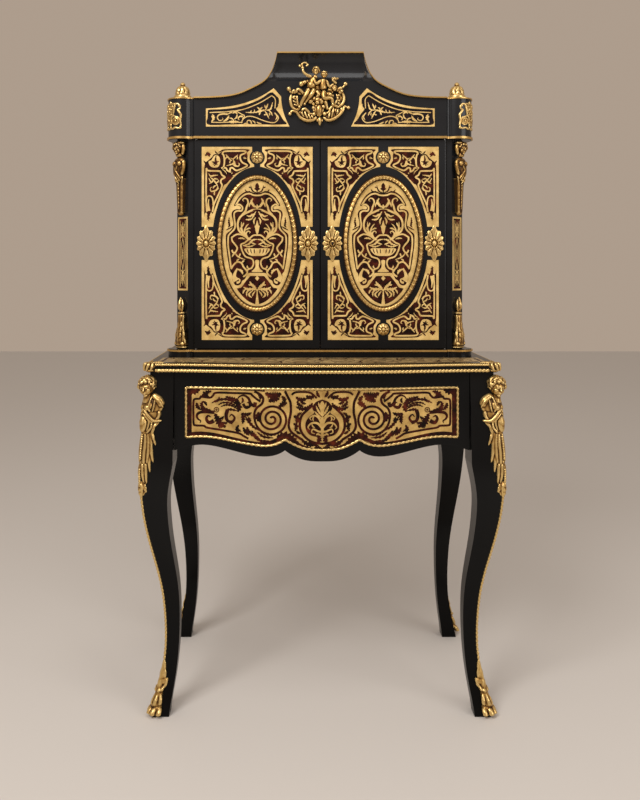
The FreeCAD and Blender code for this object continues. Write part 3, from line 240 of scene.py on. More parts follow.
class Panel:
    """A sheet of marquetry: flat cut shapes in drawing units, laid on a surface in thin layers.

    place(u, v, lift) turns drawing units and a lift in millimetres into points of the desk.
    """

    def __init__(self, place, **changes):
        self.place = place
        self.stuff = inlay_stuff | changes
        probes = np.array([(0, 1, 0, 0), (0, 0, 1, 0), (0, 0, 0, 1)], float)
        origin, across, upward, above = place(*probes)
        self.mirrored = np.dot(np.cross(across - origin, upward - origin), above - origin) < 0
        self.points, self.faces, self.count = {}, {}, {}

    def _add(self, stuff, edge, lift, top, rim):
        """A top face set, the same set turned over beneath it, and a wall along the rim between them."""
        n = len(edge)
        layer = len(self.points.setdefault(stuff, []))
        low, high = np.full(n, SUNK), np.full(n, lift + LAYER_STEP * layer)
        layers = np.vstack([self.place(*edge.T, high), self.place(*edge.T, low)])
        after = np.roll(rim, -1)
        wall = np.stack([rim, rim + n, after + n, after], 1).tolist()
        start = self.count.get(stuff, 0)
        faces = top + [[n + i for i in reversed(face)] for face in top] + wall
        faces = turned_over(faces) if self.mirrored else faces
        self.points[stuff].append(layers)
        self.faces.setdefault(stuff, []).extend([[start + i for i in face] for face in faces])
        self.count[stuff] = start + 2 * n

    def plate(self, stuff, edge, lift):
        """A flat plate inside a closed outline."""
        turn = np.sum(edge[:, 0] * np.roll(edge[:, 1], -1) - edge[:, 1] * np.roll(edge[:, 0], -1))
        rim = np.arange(len(edge)) if turn > 0 else np.arange(len(edge))[::-1]
        self._add(stuff, edge, lift, [rim.tolist()], rim)

    def fill(self, stuff, outline, lift, per_span=7):
        """A flat plate inside a smooth outline through given points."""
        self.plate(stuff, smooth_path(outline, True, per_span), lift)

    def sheet(self, stuff, right, left, lift, columns=2):
        """A plate ruled between two runs of as many points, in columns so that it can follow a bow."""
        share = np.linspace(0, 1, columns)[None, :, None]
        grid = right[:, None, :] * (1 - share) + left[:, None, :] * share
        index = np.arange(len(right) * columns).reshape(len(right), columns)
        top = np.stack([index[:-1, :-1], index[1:, :-1], index[1:, 1:], index[:-1, 1:]], -1).reshape(-1, 4)
        rim = np.concatenate([index[:, 0], index[-1, 1:], index[-2::-1, -1], index[0, -2:0:-1]])
        self._add(stuff, grid.reshape(-1, 2), lift, top.tolist(), rim)

    def band(self, stuff, run, width, lift, shape):
        """A strip along a run: straps keep their width, barbed leaves taper to both ends, tails to one.

        Drops widen from the near end, and buds swell past the middle.
        """
        share = np.linspace(0, 1, len(run))
        barbs = LEAF_BARBS[np.arange(len(run)) % len(LEAF_BARBS)]
        profile = {
            "strap": np.ones_like(share),
            "leaf": barbs * np.sin(np.pi * np.clip(0.04 + 0.92 * share, 0, 1)) ** 0.75,
            "tail": np.clip(1.04 - share, 0, 1) ** 0.6,
            "drop": 0.25 + 0.75 * share ** 1.5,
            "bud": 0.12 + 0.88 * np.sin(np.pi * share ** 1.8) ** 0.8,
        }[shape]
        way = np.gradient(run, axis=0)
        way /= np.maximum(np.linalg.norm(way, axis=1, keepdims=True), 1e-9)
        side = np.stack([-way[:, 1], way[:, 0]], 1) * (0.5 * width * profile)[:, None]
        self.sheet(stuff, run - side, run + side, lift)

    def strokes(self, stuff, rows, lift, mirror=None):
        """Strips given as (shape, width, points...), repeated across an upright axis where one is given."""
        for shape, width, *points in rows:
            width = width * STROKE_SHARE[stuff]
            run = smooth_path(points)
            self.band(stuff, run, width, lift, shape)
            if mirror is not None and np.abs(run[:, 0] - mirror).max() > 1:
                self.band(stuff, np.stack([2 * mirror - run[:, 0], run[:, 1]], 1), width, lift, shape)

    def finish(self, name, body):
        """One object of each stuff, riding the body."""
        for stuff, points in self.points.items():
            piece = piece_from(f"{name}_{stuff}", np.vstack(points), self.faces[stuff], self.stuff[stuff])
            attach(piece, body)


def piece_from(name, points, faces, material, smooth=False):
    """A mesh object at the origin from points in millimetres and faces."""
    mesh = bpy.data.meshes.new(name)
    mesh.from_pydata((np.asarray(points) * MM).tolist(), [], faces)
    mesh.materials.append(material)
    if smooth:
        mesh.shade_smooth()
    piece = bpy.data.objects.new(name, mesh)
    bpy.context.collection.objects.link(piece)
    return piece


def cut_brass(name, dull, bright):
    """Polished brass sheet clouded between two tones, with fine rub marks."""
    finish = Finish(name, Metallic=0.35)
    cloud = finish.noise(45.0, 4.0)
    rub = finish.noise(900.0, 2.0, (1.0, 1.0, 0.15))
    finish.feed("Base Color", finish.ramp(cloud, (0.3, dull), (0.72, bright)))
    finish.feed("Roughness", 0.30 + 0.12 * cloud + 0.06 * rub)
    return finish.material


def dark_shell(name, deep, middle, red):
    """Dark red-brown shell, mottled through a deep, a middle and a red tone, under a thin polish."""
    finish = Finish(name, Specular_IOR_Level=0.12)
    mottle = finish.noise(55.0, 3.0, rough=0.6)
    finish.feed("Base Color", finish.ramp(mottle, (0.36, deep), (0.56, middle), (0.75, red)))
    finish.feed("Roughness", 0.34 + 0.10 * mottle)
    return finish.material


shell_tones = (0.007, 0.0024, 0.0014), (0.036, 0.0058, 0.0027), (0.115, 0.0175, 0.0055)
inlay_stuff = {
    "brass": cut_brass("cut_brass", (0.56, 0.35, 0.105), (0.92, 0.65, 0.25)),
    "shell": dark_shell("dark_shell", *shell_tones),
}
# Darker brass for the drawer: painted shade, as the drawer sits lower and gets less light than the doors
shaded_brass = cut_brass("shaded_brass", (0.37, 0.215, 0.056), (0.74, 0.485, 0.155))
top_brass = cut_brass("top_brass", (0.27, 0.18, 0.075), (0.60, 0.43, 0.20))
own_brass = {"drawer_inlay": shaded_brass, "desk_top_inlay": top_brass}
frieze_tones = (0.006, 0.0045, 0.0055), (0.014, 0.0075, 0.008), (0.034, 0.011, 0.009)
frieze_shell = dark_shell("frieze_shell", *frieze_tones)

# Doors: the oval is drawn from the door's middle, the corner from the field's outer corner
DOOR_FACE_Y = -106.0 + LEG_MID_Y
DOOR_X, DOOR_Z = 143.7, 1022.5
OVAL_UNIT = 0.1356
CORNER_UNIT = 0.1253
CORNER_X, CORNER_Z = 126.3, 220.0

OVAL_FIELD = [
    (0, 846), (-65, 851), (-125, 876), (-205, 866), (-285, 811), (-345, 731), (-388, 634), (-325, 636),
    (-276, 611), (-287, 573), (-345, 576), (-405, 551), (-430, 491), (-415, 411), (-400, 351), (-410, 281),
    (-445, 221), (-515, 161), (-527, 91), (-522, -39), (-510, -140), (-490, -290), (-456, -462),
    (-425, -510), (-417, -610), (-375, -692), (-325, -707), (-275, -682), (-250, -628), (-205, -598),
    (-165, -520), (-125, -497), (0, -495)]
LUNETTE_FIELD = [
    (0, -548), (-110, -548), (-140, -575), (-205, -655), (-270, -742), (-338, -762), (-270, -860),
    (-165, -960), (-65, -1012), (0, -1024)]
OVAL_BRASS = [
    ("strap", 31, (0, 805), (-65, 812), (-125, 836), (-205, 821), (-285, 758), (-338, 680), (-352, 650),
     (-295, 652), (-248, 608), (-262, 548), (-335, 546), (-385, 508), (-383, 411), (-370, 311), (-388, 236),
     (-465, 154), (-486, 101), (-488, -39), (-468, -190), (-438, -415)),
    ("tail", 43, (-250, 480), (-198, 541), (-175, 621), (-152, 681), (-167, 741), (-213, 759), (-243, 730),
     (-222, 706)),
    ("leaf", 54, (-70, 761), (-98, 700), (-66, 645), (-45, 606)),
    ("leaf", 30, (-95, 700), (-125, 660), (-135, 610)), ("leaf", 32, (-66, 645), (-20, 612), (0, 600)),
    ("leaf", 35, (0, 655), (0, 620), (0, 575)),
    ("strap", 39, (0, 568), (-75, 560), (-165, 521), (-255, 471), (-310, 401), (-327, 301), (-302, 211),
     (-235, 151), (-165, 96), (-130, 72)),
    ("leaf", 35, (-20, 540), (-60, 470), (-95, 400)),
    ("leaf", 40, (-180, 470), (-120, 455), (-85, 480), (-35, 500)),
    ("leaf", 38, (-195, 400), (-130, 400), (-85, 420)), ("leaf", 35, (-25, 440), (-55, 380), (-50, 320)),
    ("bud", 76, (0, 385), (0, 330), (0, 262), (0, 150)), ("leaf", 35, (-40, 300), (-18, 250), (-4, 180)),
    ("tail", 49, (-170, 108), (-236, 171), (-262, 261), (-265, 361)),
    ("leaf", 32, (-240, 180), (-275, 240), (-290, 270)),
    ("leaf", 32, (-262, 261), (-235, 320), (-225, 350)),
    ("tail", 40, (-190, 118), (-214, 205), (-180, 290), (-140, 330)),
    ("leaf", 32, (-208, 215), (-150, 250), (-110, 255)),
    ("tail", 35, (-165, 96), (-186, 160), (-156, 205), (-120, 190), (-128, 165)),
    ("strap", 31, (-428, 101), (-335, 153), (-235, 133), (-150, 75), (-110, 60)),
    ("leaf", 35, (-320, 82), (-260, 88), (-200, 70)),
    ("strap", 31, (-428, 108), (-418, 40), (-370, -20), (-335, -80), (-365, -148), (-405, -152),
     (-425, -110)),
    ("leaf", 32, (-365, -148), (-400, -190), (-425, -230)),
    ("leaf", 30, (-370, -148), (-345, -200), (-290, -240), (-200, -275)),
    ("leaf", 32, (-305, -225), (-290, -190), (-285, -165)),
    ("strap", 30, (0, 140), (-65, 134), (-125, 84), (-205, 14), (-268, -16), (-268, -68), (-245, -140),
     (-195, -220), (-105, -252), (-70, -285), (-62, -345), (-92, -412), (-140, -432), (-190, -470)),
    ("leaf", 40, (0, 70), (-75, 54), (-145, -12), (-245, -38)),
    ("leaf", 30, (-225, -40), (-145, -56), (-45, -30)), ("leaf", 32, (-100, 20), (-60, -5), (-20, -15)),
    ("leaf", 32, (-140, -425), (-165, -400), (-165, -370)),
    ("strap", 32, (-440, -432), (-395, -362), (-335, -312), (-265, -332), (-225, -402), (-165, -472),
     (-190, -530), (-235, -560)),
    ("leaf", 32, (-345, -312), (-330, -280), (-300, -262)),
    ("leaf", 35, (-265, -332), (-235, -300), (-215, -290)),
    ("drop", 130, (-332, -420), (-372, -500), (-385, -570), (-352, -630)),
    ("tail", 46, (-345, -662), (-305, -650), (-292, -612), (-320, -585)),
    ("leaf", 51, (-330, -432), (-265, -462), (-240, -520)),
    ("strap", 31, (-390, -742), (-330, -742), (-285, -722), (-245, -676), (-205, -632), (-165, -558),
     (-120, -520), (0, -518))]
BOWL = [(-208, -88), (0, -84), (208, -88), (165, -172), (95, -207), (0, -211), (-95, -207), (-165, -172)]
PEDESTAL = [
    (-32, -288), (32, -288), (26, -380), (50, -430), (90, -478), (-90, -478), (-50, -430), (-26, -380)]
TREE = [
    ("drop", 84, (0, -800), (0, -880), (0, -960), (0, -1050)),
    ("leaf", 54, (0, -780), (-65, -768), (-165, -768), (-230, -735)),
    ("leaf", 35, (-190, -768), (-225, -800), (-240, -845)),
    ("leaf", 35, (-120, -772), (-172, -820), (-175, -890)),
    ("leaf", 38, (-60, -780), (-130, -840), (-130, -880), (-90, -912)),
    ("leaf", 32, (-30, -800), (-70, -850), (-80, -890)),
    ("leaf", 54, (0, -800), (-45, -735), (-95, -690), (-125, -640)),
    ("leaf", 32, (-85, -700), (-125, -700), (-145, -690)), ("leaf", 62, (0, -550), (0, -585), (0, -625)),
    ("leaf", 35, (-35, -585), (0, -588), (35, -585))]
CROWN = [
    ("bud", 62, (0, 842), (0, 900), (0, 955), (0, 1015)), ("leaf", 40, (-48, 920), (0, 912), (48, 920)),
    ("leaf", 26, (0, 850), (-60, 868), (-90, 905), (-108, 975)),
    ("leaf", 22, (-98, 930), (-130, 945), (-135, 955)), ("leaf", 24, (-120, 880), (-175, 868), (-205, 910)),
    ("leaf", 22, (-400, 290), (-470, 250), (-525, 222)),
    ("leaf", 34, (-470, 440), (-475, 360), (-465, 300), (-490, 270)),
    ("leaf", 16, (0, 840), (-30, 860), (-70, 866)), ("leaf", 28, (-75, 556), (0, 557), (75, 556))]
FLUTES = [("leaf", 20, (x, -90), (0.93 * x, -130), (0.82 * x, -172)) for x in (-172, -112, -52, 52, 112, 172)]

CORNER_FIELD = [
    (405, 45), (850, 45), (822, 105), (834, 155), (834, 250), (878, 352), (690, 448), (612, 508),
    (515, 600), (450, 672), (398, 712), (300, 950), (205, 1205), (170, 1190), (122, 1290), (90, 1200),
    (58, 1210), (46, 1270), (44, 1100), (44, 400), (70, 340), (60, 290), (110, 250), (180, 190), (225, 135),
    (300, 130), (365, 85)]
CORNER_BRASS = [
    ("strap", 34, (355, 388), (398, 362), (413, 250), (398, 152), (378, 122), (418, 82), (600, 76),
     (788, 78), (786, 115), (712, 150), (700, 212), (738, 282), (826, 342), (668, 422), (608, 420),
     (560, 382), (520, 390), (508, 445), (462, 425), (440, 385), (385, 382)),
    ("strap", 34, (84, 385), (118, 432), (308, 440), (340, 455), (368, 512), (420, 552), (360, 592),
     (345, 642), (368, 712), (298, 882), (222, 1045), (195, 1185)),
    ("strap", 32, (84, 385), (80, 640), (80, 900), (80, 1000), (92, 1180)),
    ("strap", 28, (82, 985), (95, 915), (138, 892), (185, 915), (205, 985), (208, 1060)),
    ("drop", 70, (128, 950), (118, 1050), (128, 1165)),
    ("leaf", 35, (435, 135), (470, 180), (528, 240), (552, 250)),
    ("leaf", 30, (520, 200), (568, 220), (608, 190), (662, 142)),
    ("leaf", 35, (568, 215), (582, 280), (556, 312), (446, 345)),
    ("leaf", 27, (528, 240), (510, 280), (518, 300)),
    ("tail", 38, (585, 255), (612, 335), (662, 352), (686, 312), (660, 292)),
    ("leaf", 30, (560, 312), (600, 345), (640, 360)), ("leaf", 27, (470, 180), (440, 200), (430, 230)),
    ("leaf", 27, (640, 165), (650, 200), (640, 230)),
    ("leaf", 35, (126, 485), (160, 530), (220, 522), (298, 512)),
    ("leaf", 35, (150, 545), (205, 598), (262, 662), (300, 742)),
    ("leaf", 32, (124, 565), (170, 640), (210, 600)), ("leaf", 30, (130, 672), (185, 640), (210, 610)),
    ("leaf", 30, (298, 592), (240, 578), (210, 600)), ("leaf", 30, (250, 650), (290, 640), (310, 600)),
    ("tail", 38, (300, 740), (258, 790), (172, 808), (158, 752), (192, 728)),
    ("leaf", 32, (240, 795), (228, 850), (232, 880)), ("leaf", 30, (270, 700), (225, 720), (205, 760)),
    ("leaf", 35, (790, 190), (770, 200), (815, 215)), ("leaf", 38, (372, 405), (420, 450), (455, 500)),
    ("leaf", 32, (500, 450), (540, 470), (555, 500)), ("leaf", 32, (560, 530), (600, 520), (640, 478))]
CORNER_DISC = [
    (239, 155), (307, 168), (334, 236), (328, 312), (290, 368), (222, 376), (163, 355), (130, 304),
    (129, 263), (176, 240), (205, 194)]
CORNER_DARK = [
    ("leaf", 52, (58, 160), (110, 130), (165, 140)), ("leaf", 44, (110, 85), (118, 130), (150, 180)),
    ("leaf", 26, (80, 100), (110, 130), (150, 105)),
    ("leaf", 40, (262, 160), (250, 230), (260, 290), (225, 350)),
    ("leaf", 34, (180, 270), (240, 280), (320, 265)), ("leaf", 30, (200, 320), (250, 300), (290, 330)),
    ("leaf", 30, (35, 250), (70, 300), (60, 350)), ("leaf", 26, (240, 70), (265, 110), (300, 120)),
    ("leaf", 22, (300, 100), (340, 85), (380, 55)), ("leaf", 34, (118, 1200), (116, 1270), (120, 1345)),
    ("leaf", 30, (95, 1320), (120, 1300), (150, 1290)), ("leaf", 26, (92, 1250), (120, 1262), (150, 1240)),
    ("leaf", 40, (430, 500), (480, 555), (540, 590)), ("leaf", 30, (480, 555), (455, 610), (440, 670)),
    ("leaf", 28, (480, 555), (560, 500), (610, 500)), ("leaf", 24, (480, 555), (510, 500), (560, 440)),
    ("leaf", 26, (350, 400), (420, 470), (470, 540))]


def door_marquetry(side, body):
    """One door: basket, scrolls and tree on shell inside the oval, and four strapwork corners."""
    centre_x = side * DOOR_X

    def on_oval(u, v, lift):
        return np.stack([centre_x + u * OVAL_UNIT, DOOR_FACE_Y - lift, DOOR_Z + v * OVAL_UNIT], 1)

    oval = Panel(on_oval)
    for half in (OVAL_FIELD, LUNETTE_FIELD):
        edge = smooth_path(half)
        oval.plate("shell", np.vstack([edge, (edge * (-1, 1))[::-1][1:-1]]), FIELD_LIFT)
    oval.strokes("brass", OVAL_BRASS, CUT_LIFT, 0)
    oval.strokes("brass", TREE, CUT_LIFT, 0)
    oval.fill("brass", BOWL, CUT_LIFT)
    oval.fill("brass", PEDESTAL, CUT_LIFT, 3)
    oval.strokes("shell", CROWN, OVAL_TOP_LIFT, 0)
    oval.strokes("shell", FLUTES, OVAL_TOP_LIFT)
    oval.finish(body + "_oval", body)
    for across in (-1, 1):
        for upward in (-1, 1):
            def on_corner(u, v, lift):
                x = centre_x + across * (u * CORNER_UNIT - CORNER_X)
                z = DOOR_Z + upward * (CORNER_Z - v * CORNER_UNIT)
                return np.stack([x, DOOR_FACE_Y - lift, z], 1)

            corner = Panel(on_corner)
            corner.fill("shell", CORNER_FIELD, FIELD_LIFT, 4)
            corner.strokes("brass", CORNER_BRASS, CUT_LIFT)
            corner.fill("brass", CORNER_DISC, CUT_LIFT)
            corner.strokes("shell", CORNER_DARK, CORNER_TOP_LIFT)
            corner.finish(f"{body}_corner_{across}_{upward}".replace("-1", "m"), body)


door_marquetry(-1, "left_door")
door_marquetry(1, "right_door")
INLAYS = [
    "left_door_inlay", "right_door_inlay", "drawer_inlay", "frieze_inlays", "post_inlays", "desk_top_inlay"]
for inlay in INLAYS:
    frame["nodes"][inlay].data.materials[0] = own_brass.get(inlay, inlay_stuff["brass"])


def node_points(name):
    """All points of a node in millimetres, in the desk's frame."""
    node = frame["nodes"][name]
    flat = np.empty(3 * len(node.data.vertices))
    node.data.vertices.foreach_get("co", flat)
    turn = np.array(node.matrix_world)
    return (flat.reshape(-1, 3) @ turn[:3, :3].T + turn[:3, 3]) / MM


def bow_of(name, reach):
    """The bowed front of a node seen from above: an even curve y(x) through its foremost points.

    Points within the reach count; each pass keeps those that lie before the last curve or close to it.
    """
    points = node_points(name)
    points = points[np.abs(points[:, 0]) < reach]
    passes, degree, close = 4, 6, 0.05
    for _ in range(passes):
        curve = np.polyfit((points[:, 0] / reach) ** 2, points[:, 1], degree)
        points = points[points[:, 1] < np.polyval(curve, (points[:, 0] / reach) ** 2) + close]
    return lambda x: np.polyval(curve, (np.asarray(x) / reach) ** 2)


# Drawer front, drawn from its left end; the axis is the drawer's middle
DRAWER_AXIS, DRAWER_UNIT_X, DRAWER_UNIT_Z = 1527.0, 0.2319, 0.2255
DRAWER_TOP_V, DRAWER_TOP_Z = 18.0, 712.0
DRAWER_BOW_REACH = 292.0
drawer_bow = bow_of("drawer_inlay", DRAWER_BOW_REACH)
DRAWER_DARK = [
    ("strap", 39, (301, 40), (301, 200), (301, 340), (301, 492)),
    ("strap", 34, (300, 478), (400, 468), (500, 475), (600, 491), (700, 512), (800, 532), (900, 547),
     (960, 550), (1040, 540), (1100, 516), (1165, 490)),
    ("leaf", 88, (1110, 484), (1180, 472), (1245, 504), (1310, 548)),
    ("tail", 40, (1270, 532), (1350, 572), (1440, 596), (1535, 604)),
    ("strap", 20, (962, 152), (925, 128), (886, 96), (858, 79), (700, 78), (550, 79), (520, 106),
     (490, 127), (412, 120), (392, 138), (348, 143), (336, 175), (336, 280), (338, 372), (354, 392),
     (432, 396), (466, 413), (600, 432), (755, 456), (806, 482), (850, 506)),
    ("leaf", 61, (288, 62), (340, 70), (398, 52)),
    ("leaf", 44, (392, 124), (440, 104), (466, 76), (505, 66)),
    ("leaf", 32, (428, 68), (444, 98), (484, 118)),
    ("strap", 16, (300, 44), (600, 44), (900, 44), (1000, 52)),
    ("leaf", 38, (366, 176), (374, 212), (402, 246)),
    ("leaf", 38, (426, 160), (412, 198), (438, 234), (500, 246)),
    ("leaf", 29, (424, 162), (448, 178), (462, 206)),
    ("tail", 32, (534, 266), (450, 262), (390, 272), (368, 300), (378, 330), (404, 350), (396, 372)),
    ("leaf", 26, (440, 262), (420, 240), (395, 236)),
    ("leaf", 26, (506, 178), (556, 152), (640, 138), (712, 164), (758, 204)),
    ("leaf", 23, (578, 116), (572, 146), (536, 172)),
    ("leaf", 20, (566, 196), (612, 172), (690, 176), (752, 216)),
    ("leaf", 22, (590, 212), (640, 192), (700, 200), (756, 236)),
    ("leaf", 26, (636, 246), (680, 234), (750, 246)),
    ("leaf", 41, (636, 112), (690, 132), (736, 146), (772, 172)),
    ("leaf", 55, (730, 150), (762, 204), (752, 256)),
    ("tail", 35, (656, 238), (642, 290), (656, 342), (700, 348), (722, 312), (694, 282), (672, 306)),
    ("leaf", 26, (660, 345), (690, 362), (706, 342)),
    ("tail", 38, (528, 346), (484, 364), (458, 332), (472, 300), (502, 312)),
    ("leaf", 64, (538, 276), (562, 330), (592, 378), (640, 402)),
    ("leaf", 29, (560, 330), (600, 322), (622, 300)), ("leaf", 26, (600, 356), (636, 366), (652, 356)),
    ("leaf", 26, (584, 372), (588, 398), (576, 414)),
    ("tail", 32, (914, 160), (906, 194), (872, 172), (850, 124), (808, 98), (764, 112), (742, 156)),
    ("tail", 26, (800, 176), (826, 214), (862, 200), (852, 164), (834, 168)),
    ("leaf", 26, (880, 190), (846, 206), (810, 200)), ("leaf", 23, (790, 118), (800, 146), (786, 172)),
    ("leaf", 38, (788, 262), (802, 318), (796, 366)), ("leaf", 35, (786, 266), (836, 278), (880, 258)),
    ("leaf", 29, (818, 290), (850, 340), (898, 392), (956, 426)),
    ("leaf", 29, (850, 300), (862, 330), (860, 352)), ("leaf", 32, (760, 378), (742, 416), (756, 446)),
    ("leaf", 26, (732, 432), (752, 424), (784, 440)), ("leaf", 35, (800, 398), (822, 440), (858, 474)),
    ("leaf", 35, (838, 392), (850, 436), (924, 496)), ("leaf", 32, (878, 426), (906, 470), (958, 508)),
    ("leaf", 26, (930, 440), (990, 482), (1080, 492)), ("leaf", 23, (900, 492), (960, 520), (1040, 520)),
    ("leaf", 29, (960, 432), (1020, 458), (1100, 466)),
    ("strap", 21, (904, 58), (952, 80), (986, 120), (974, 172), (926, 214), (906, 262), (906, 316)),
    ("leaf", 35, (930, 68), (960, 98), (958, 136)), ("leaf", 46, (948, 250), (934, 300), (962, 348)),
    ("leaf", 70, (1004, 70), (1060, 96), (1112, 92), (1152, 72)),
    ("leaf", 58, (1036, 152), (1080, 128), (1136, 124)), ("leaf", 38, (1080, 96), (1090, 124), (1074, 150)),
    ("leaf", 49, (1128, 206), (1168, 172), (1206, 160)), ("leaf", 38, (1156, 96), (1180, 126), (1180, 158)),
    ("strap", 22, (1186, 50), (1212, 104), (1236, 160), (1239, 250), (1224, 330), (1222, 388), (1250, 440),
     (1316, 488), (1350, 508)),
    ("strap", 22, (1440, 180), (1392, 224), (1340, 280), (1322, 350), (1330, 418), (1372, 482), (1440, 528),
     (1530, 544)),
    ("leaf", 41, (1284, 104), (1330, 132), (1396, 116)),
    ("leaf", 38, (1286, 196), (1340, 218), (1402, 202), (1440, 160)),
    ("leaf", 32, (1296, 142), (1316, 180), (1356, 192)),
    ("leaf", 29, (1330, 130), (1346, 160), (1380, 168)),
    ("leaf", 46, (1266, 282), (1302, 308), (1290, 356)),
    ("leaf", 38, (1262, 354), (1292, 376), (1278, 426)),
    ("leaf", 26, (1300, 300), (1310, 270), (1340, 250)),
    ("leaf", 26, (1290, 420), (1306, 440), (1330, 450)),
    ("strap", 18, (1246, 84), (1288, 60), (1398, 60), (1440, 80), (1476, 116)),
    ("leaf", 38, (1376, 92), (1420, 110), (1456, 92)), ("leaf", 29, (1476, 46), (1486, 84), (1506, 106)),
    ("leaf", 44, (1336, 506), (1392, 546), (1448, 562)),
    ("leaf", 35, (1402, 512), (1440, 546), (1494, 562)),
    ("leaf", 32, (1450, 586), (1490, 580), (1527, 594)),
    ("leaf", 44, (1490, 470), (1500, 506), (1480, 536))]
DRAWER_PEAR = [
    (1527, 127), (1467, 153), (1436, 206), (1454, 252), (1410, 288), (1376, 342), (1376, 405), (1410, 457),
    (1466, 476), (1527, 480)]
DRAWER_PALM = [
    ("bud", 54, (1527, 306), (1527, 250), (1527, 196), (1527, 142)),
    ("leaf", 24, (1527, 286), (1492, 236), (1470, 188)),
    ("leaf", 20, (1522, 304), (1482, 268), (1456, 236)),
    ("leaf", 20, (1527, 240), (1502, 192), (1492, 156)),
    ("strap", 30, (1527, 296), (1527, 380), (1527, 478)),
    ("tail", 26, (1527, 374), (1496, 302), (1452, 278), (1414, 300), (1428, 324)),
    ("tail", 28, (1527, 396), (1484, 352), (1430, 350), (1398, 384), (1412, 410)),
    ("tail", 24, (1527, 428), (1494, 428), (1444, 406), (1430, 436), (1460, 450)),
    ("leaf", 22, (1527, 474), (1490, 452), (1470, 462)),
    ("leaf", 16, (1452, 279), (1440, 310), (1450, 330)),
    ("leaf", 16, (1431, 352), (1440, 380), (1460, 392))]


# Spirals as (centre, radius at either end, first turn, turns, count, width of the strip)
DRAWER_VOLUTES = [
    ((1065, 315), 157, 12, 0.5, -2.9, 130, 21),
    ((552, 240), 22, 22, 0, 1, 24, 8),
    ((552, 240), 7, 7, 0, 1, 12, 8)]


def on_drawer(u, v, lift):
    """Drawing units on the drawer's bowed front."""
    x = (u - DRAWER_AXIS) * DRAWER_UNIT_X
    return np.stack([x, drawer_bow(x) - lift, DRAWER_TOP_Z - (v - DRAWER_TOP_V) * DRAWER_UNIT_Z], 1)


def drawer_marquetry():
    """The drawer front: shell scrolls cut into brass, with two great volutes and a pear-shaped field."""
    panel = Panel(on_drawer, brass=shaded_brass)
    panel.strokes("shell", DRAWER_DARK, BOWED_LIFT, DRAWER_AXIS)
    pear = smooth_path(DRAWER_PEAR)
    panel.sheet("shell", pear, pear * (-1, 1) + (2 * DRAWER_AXIS, 0), BOWED_LIFT, 14)
    panel.strokes("brass", DRAWER_PALM, DRAWER_TOP_LIFT, DRAWER_AXIS)
    for side in (-1, 1):
        across = np.array((-side, 1.0))
        shift = np.array(((1 + side) * DRAWER_AXIS, 0.0))
        for *spiral, width in DRAWER_VOLUTES:
            panel.band("shell", volute(*spiral) * across + shift, width, BOWED_LIFT, "strap")
    panel.finish("drawer", "drawer")


# Frieze beside the crest mount, drawn from its outer end
FRIEZE_FACE_Y = -111.0 + LEG_MID_Y
FRIEZE_UNIT_X, FRIEZE_UNIT_Z = 0.1653, 0.1664
FRIEZE_END_U, FRIEZE_END_X = 482.0, 260.0
FRIEZE_FOOT_V, FRIEZE_FOOT_Z = 568.0, 1288.0
FRIEZE_FIELD_EASE = 8.0
FRIEZE_FIELD_TOP = [
    (516, 344), (700, 338), (860, 322), (1000, 290), (1140, 242), (1260, 184), (1350, 120), (1398, 108)]
FRIEZE_FIELD_SIDE = [
    (1440, 150), (1478, 196), (1470, 290), (1440, 330), (1490, 400), (1540, 480), (1592, 530)]
FRIEZE_FIELD_LOW = [(1400, 536), (1200, 530), (1000, 528), (760, 534), (516, 534), (514, 440)]
FRIEZE_BRASS = [
    ("strap", 15, (976, 520), (985, 480), (1030, 440), (1090, 428), (1160, 442), (1240, 474), (1330, 504),
     (1430, 512), (1480, 446), (1426, 380)),
    ("strap", 15, (880, 356), (1000, 332), (1120, 290), (1250, 230), (1370, 158), (1392, 150), (1436, 200),
     (1432, 320)),
    ("strap", 14, (532, 378), (640, 372), (760, 368), (880, 356), (960, 392), (1012, 424), (984, 462)),
    ("strap", 14, (556, 510), (700, 512), (840, 508), (976, 512)),
    ("leaf", 40, (560, 505), (590, 450), (572, 400)), ("leaf", 24, (600, 470), (570, 440), (560, 420)),
    ("tail", 26, (780, 400), (720, 396), (660, 410), (640, 450), (670, 486), (716, 470), (706, 446)),
    ("leaf", 38, (720, 500), (770, 470), (800, 420)), ("leaf", 46, (800, 500), (850, 505), (930, 500)),
    ("leaf", 30, (850, 390), (880, 370), (920, 400)),
    ("tail", 28, (990, 430), (950, 430), (925, 460), (945, 480)),
    ("leaf", 26, (870, 470), (905, 440), (910, 400)), ("leaf", 22, (800, 450), (840, 460), (870, 490)),
    ("leaf", 24, (780, 400), (820, 380), (850, 372)), ("leaf", 16, (1024, 372), (1100, 378), (1180, 372)),
    ("leaf", 18, (1080, 385), (1100, 365), (1110, 345)),
    ("leaf", 18, (1130, 388), (1150, 360), (1152, 335)),
    ("leaf", 34, (1150, 380), (1230, 356), (1310, 340)),
    ("leaf", 24, (1222, 350), (1210, 322), (1186, 304)),
    ("leaf", 24, (1232, 345), (1240, 320), (1262, 306)),
    ("leaf", 24, (1235, 360), (1222, 390), (1212, 412)),
    ("leaf", 26, (1300, 348), (1318, 300), (1338, 256)),
    ("leaf", 20, (1316, 320), (1296, 300), (1294, 272)),
    ("leaf", 26, (1310, 346), (1370, 330), (1400, 236)),
    ("leaf", 26, (1290, 352), (1322, 400), (1352, 462)),
    ("leaf", 20, (1318, 400), (1292, 408), (1280, 404)),
    ("leaf", 22, (1340, 344), (1380, 380), (1396, 420)),
    ("leaf", 18, (1350, 380), (1360, 402), (1350, 420)),
    ("tail", 22, (1110, 530), (1096, 492), (1060, 486), (1046, 510), (1066, 522)),
    ("leaf", 20, (1000, 534), (1030, 524), (1070, 536)),
    ("leaf", 22, (1120, 486), (1150, 506), (1160, 530)),
    ("leaf", 20, (1180, 504), (1206, 520), (1250, 532)),
    ("leaf", 26, (1448, 330), (1484, 296), (1478, 260)),
    ("leaf", 24, (1424, 380), (1462, 430), (1440, 480))]


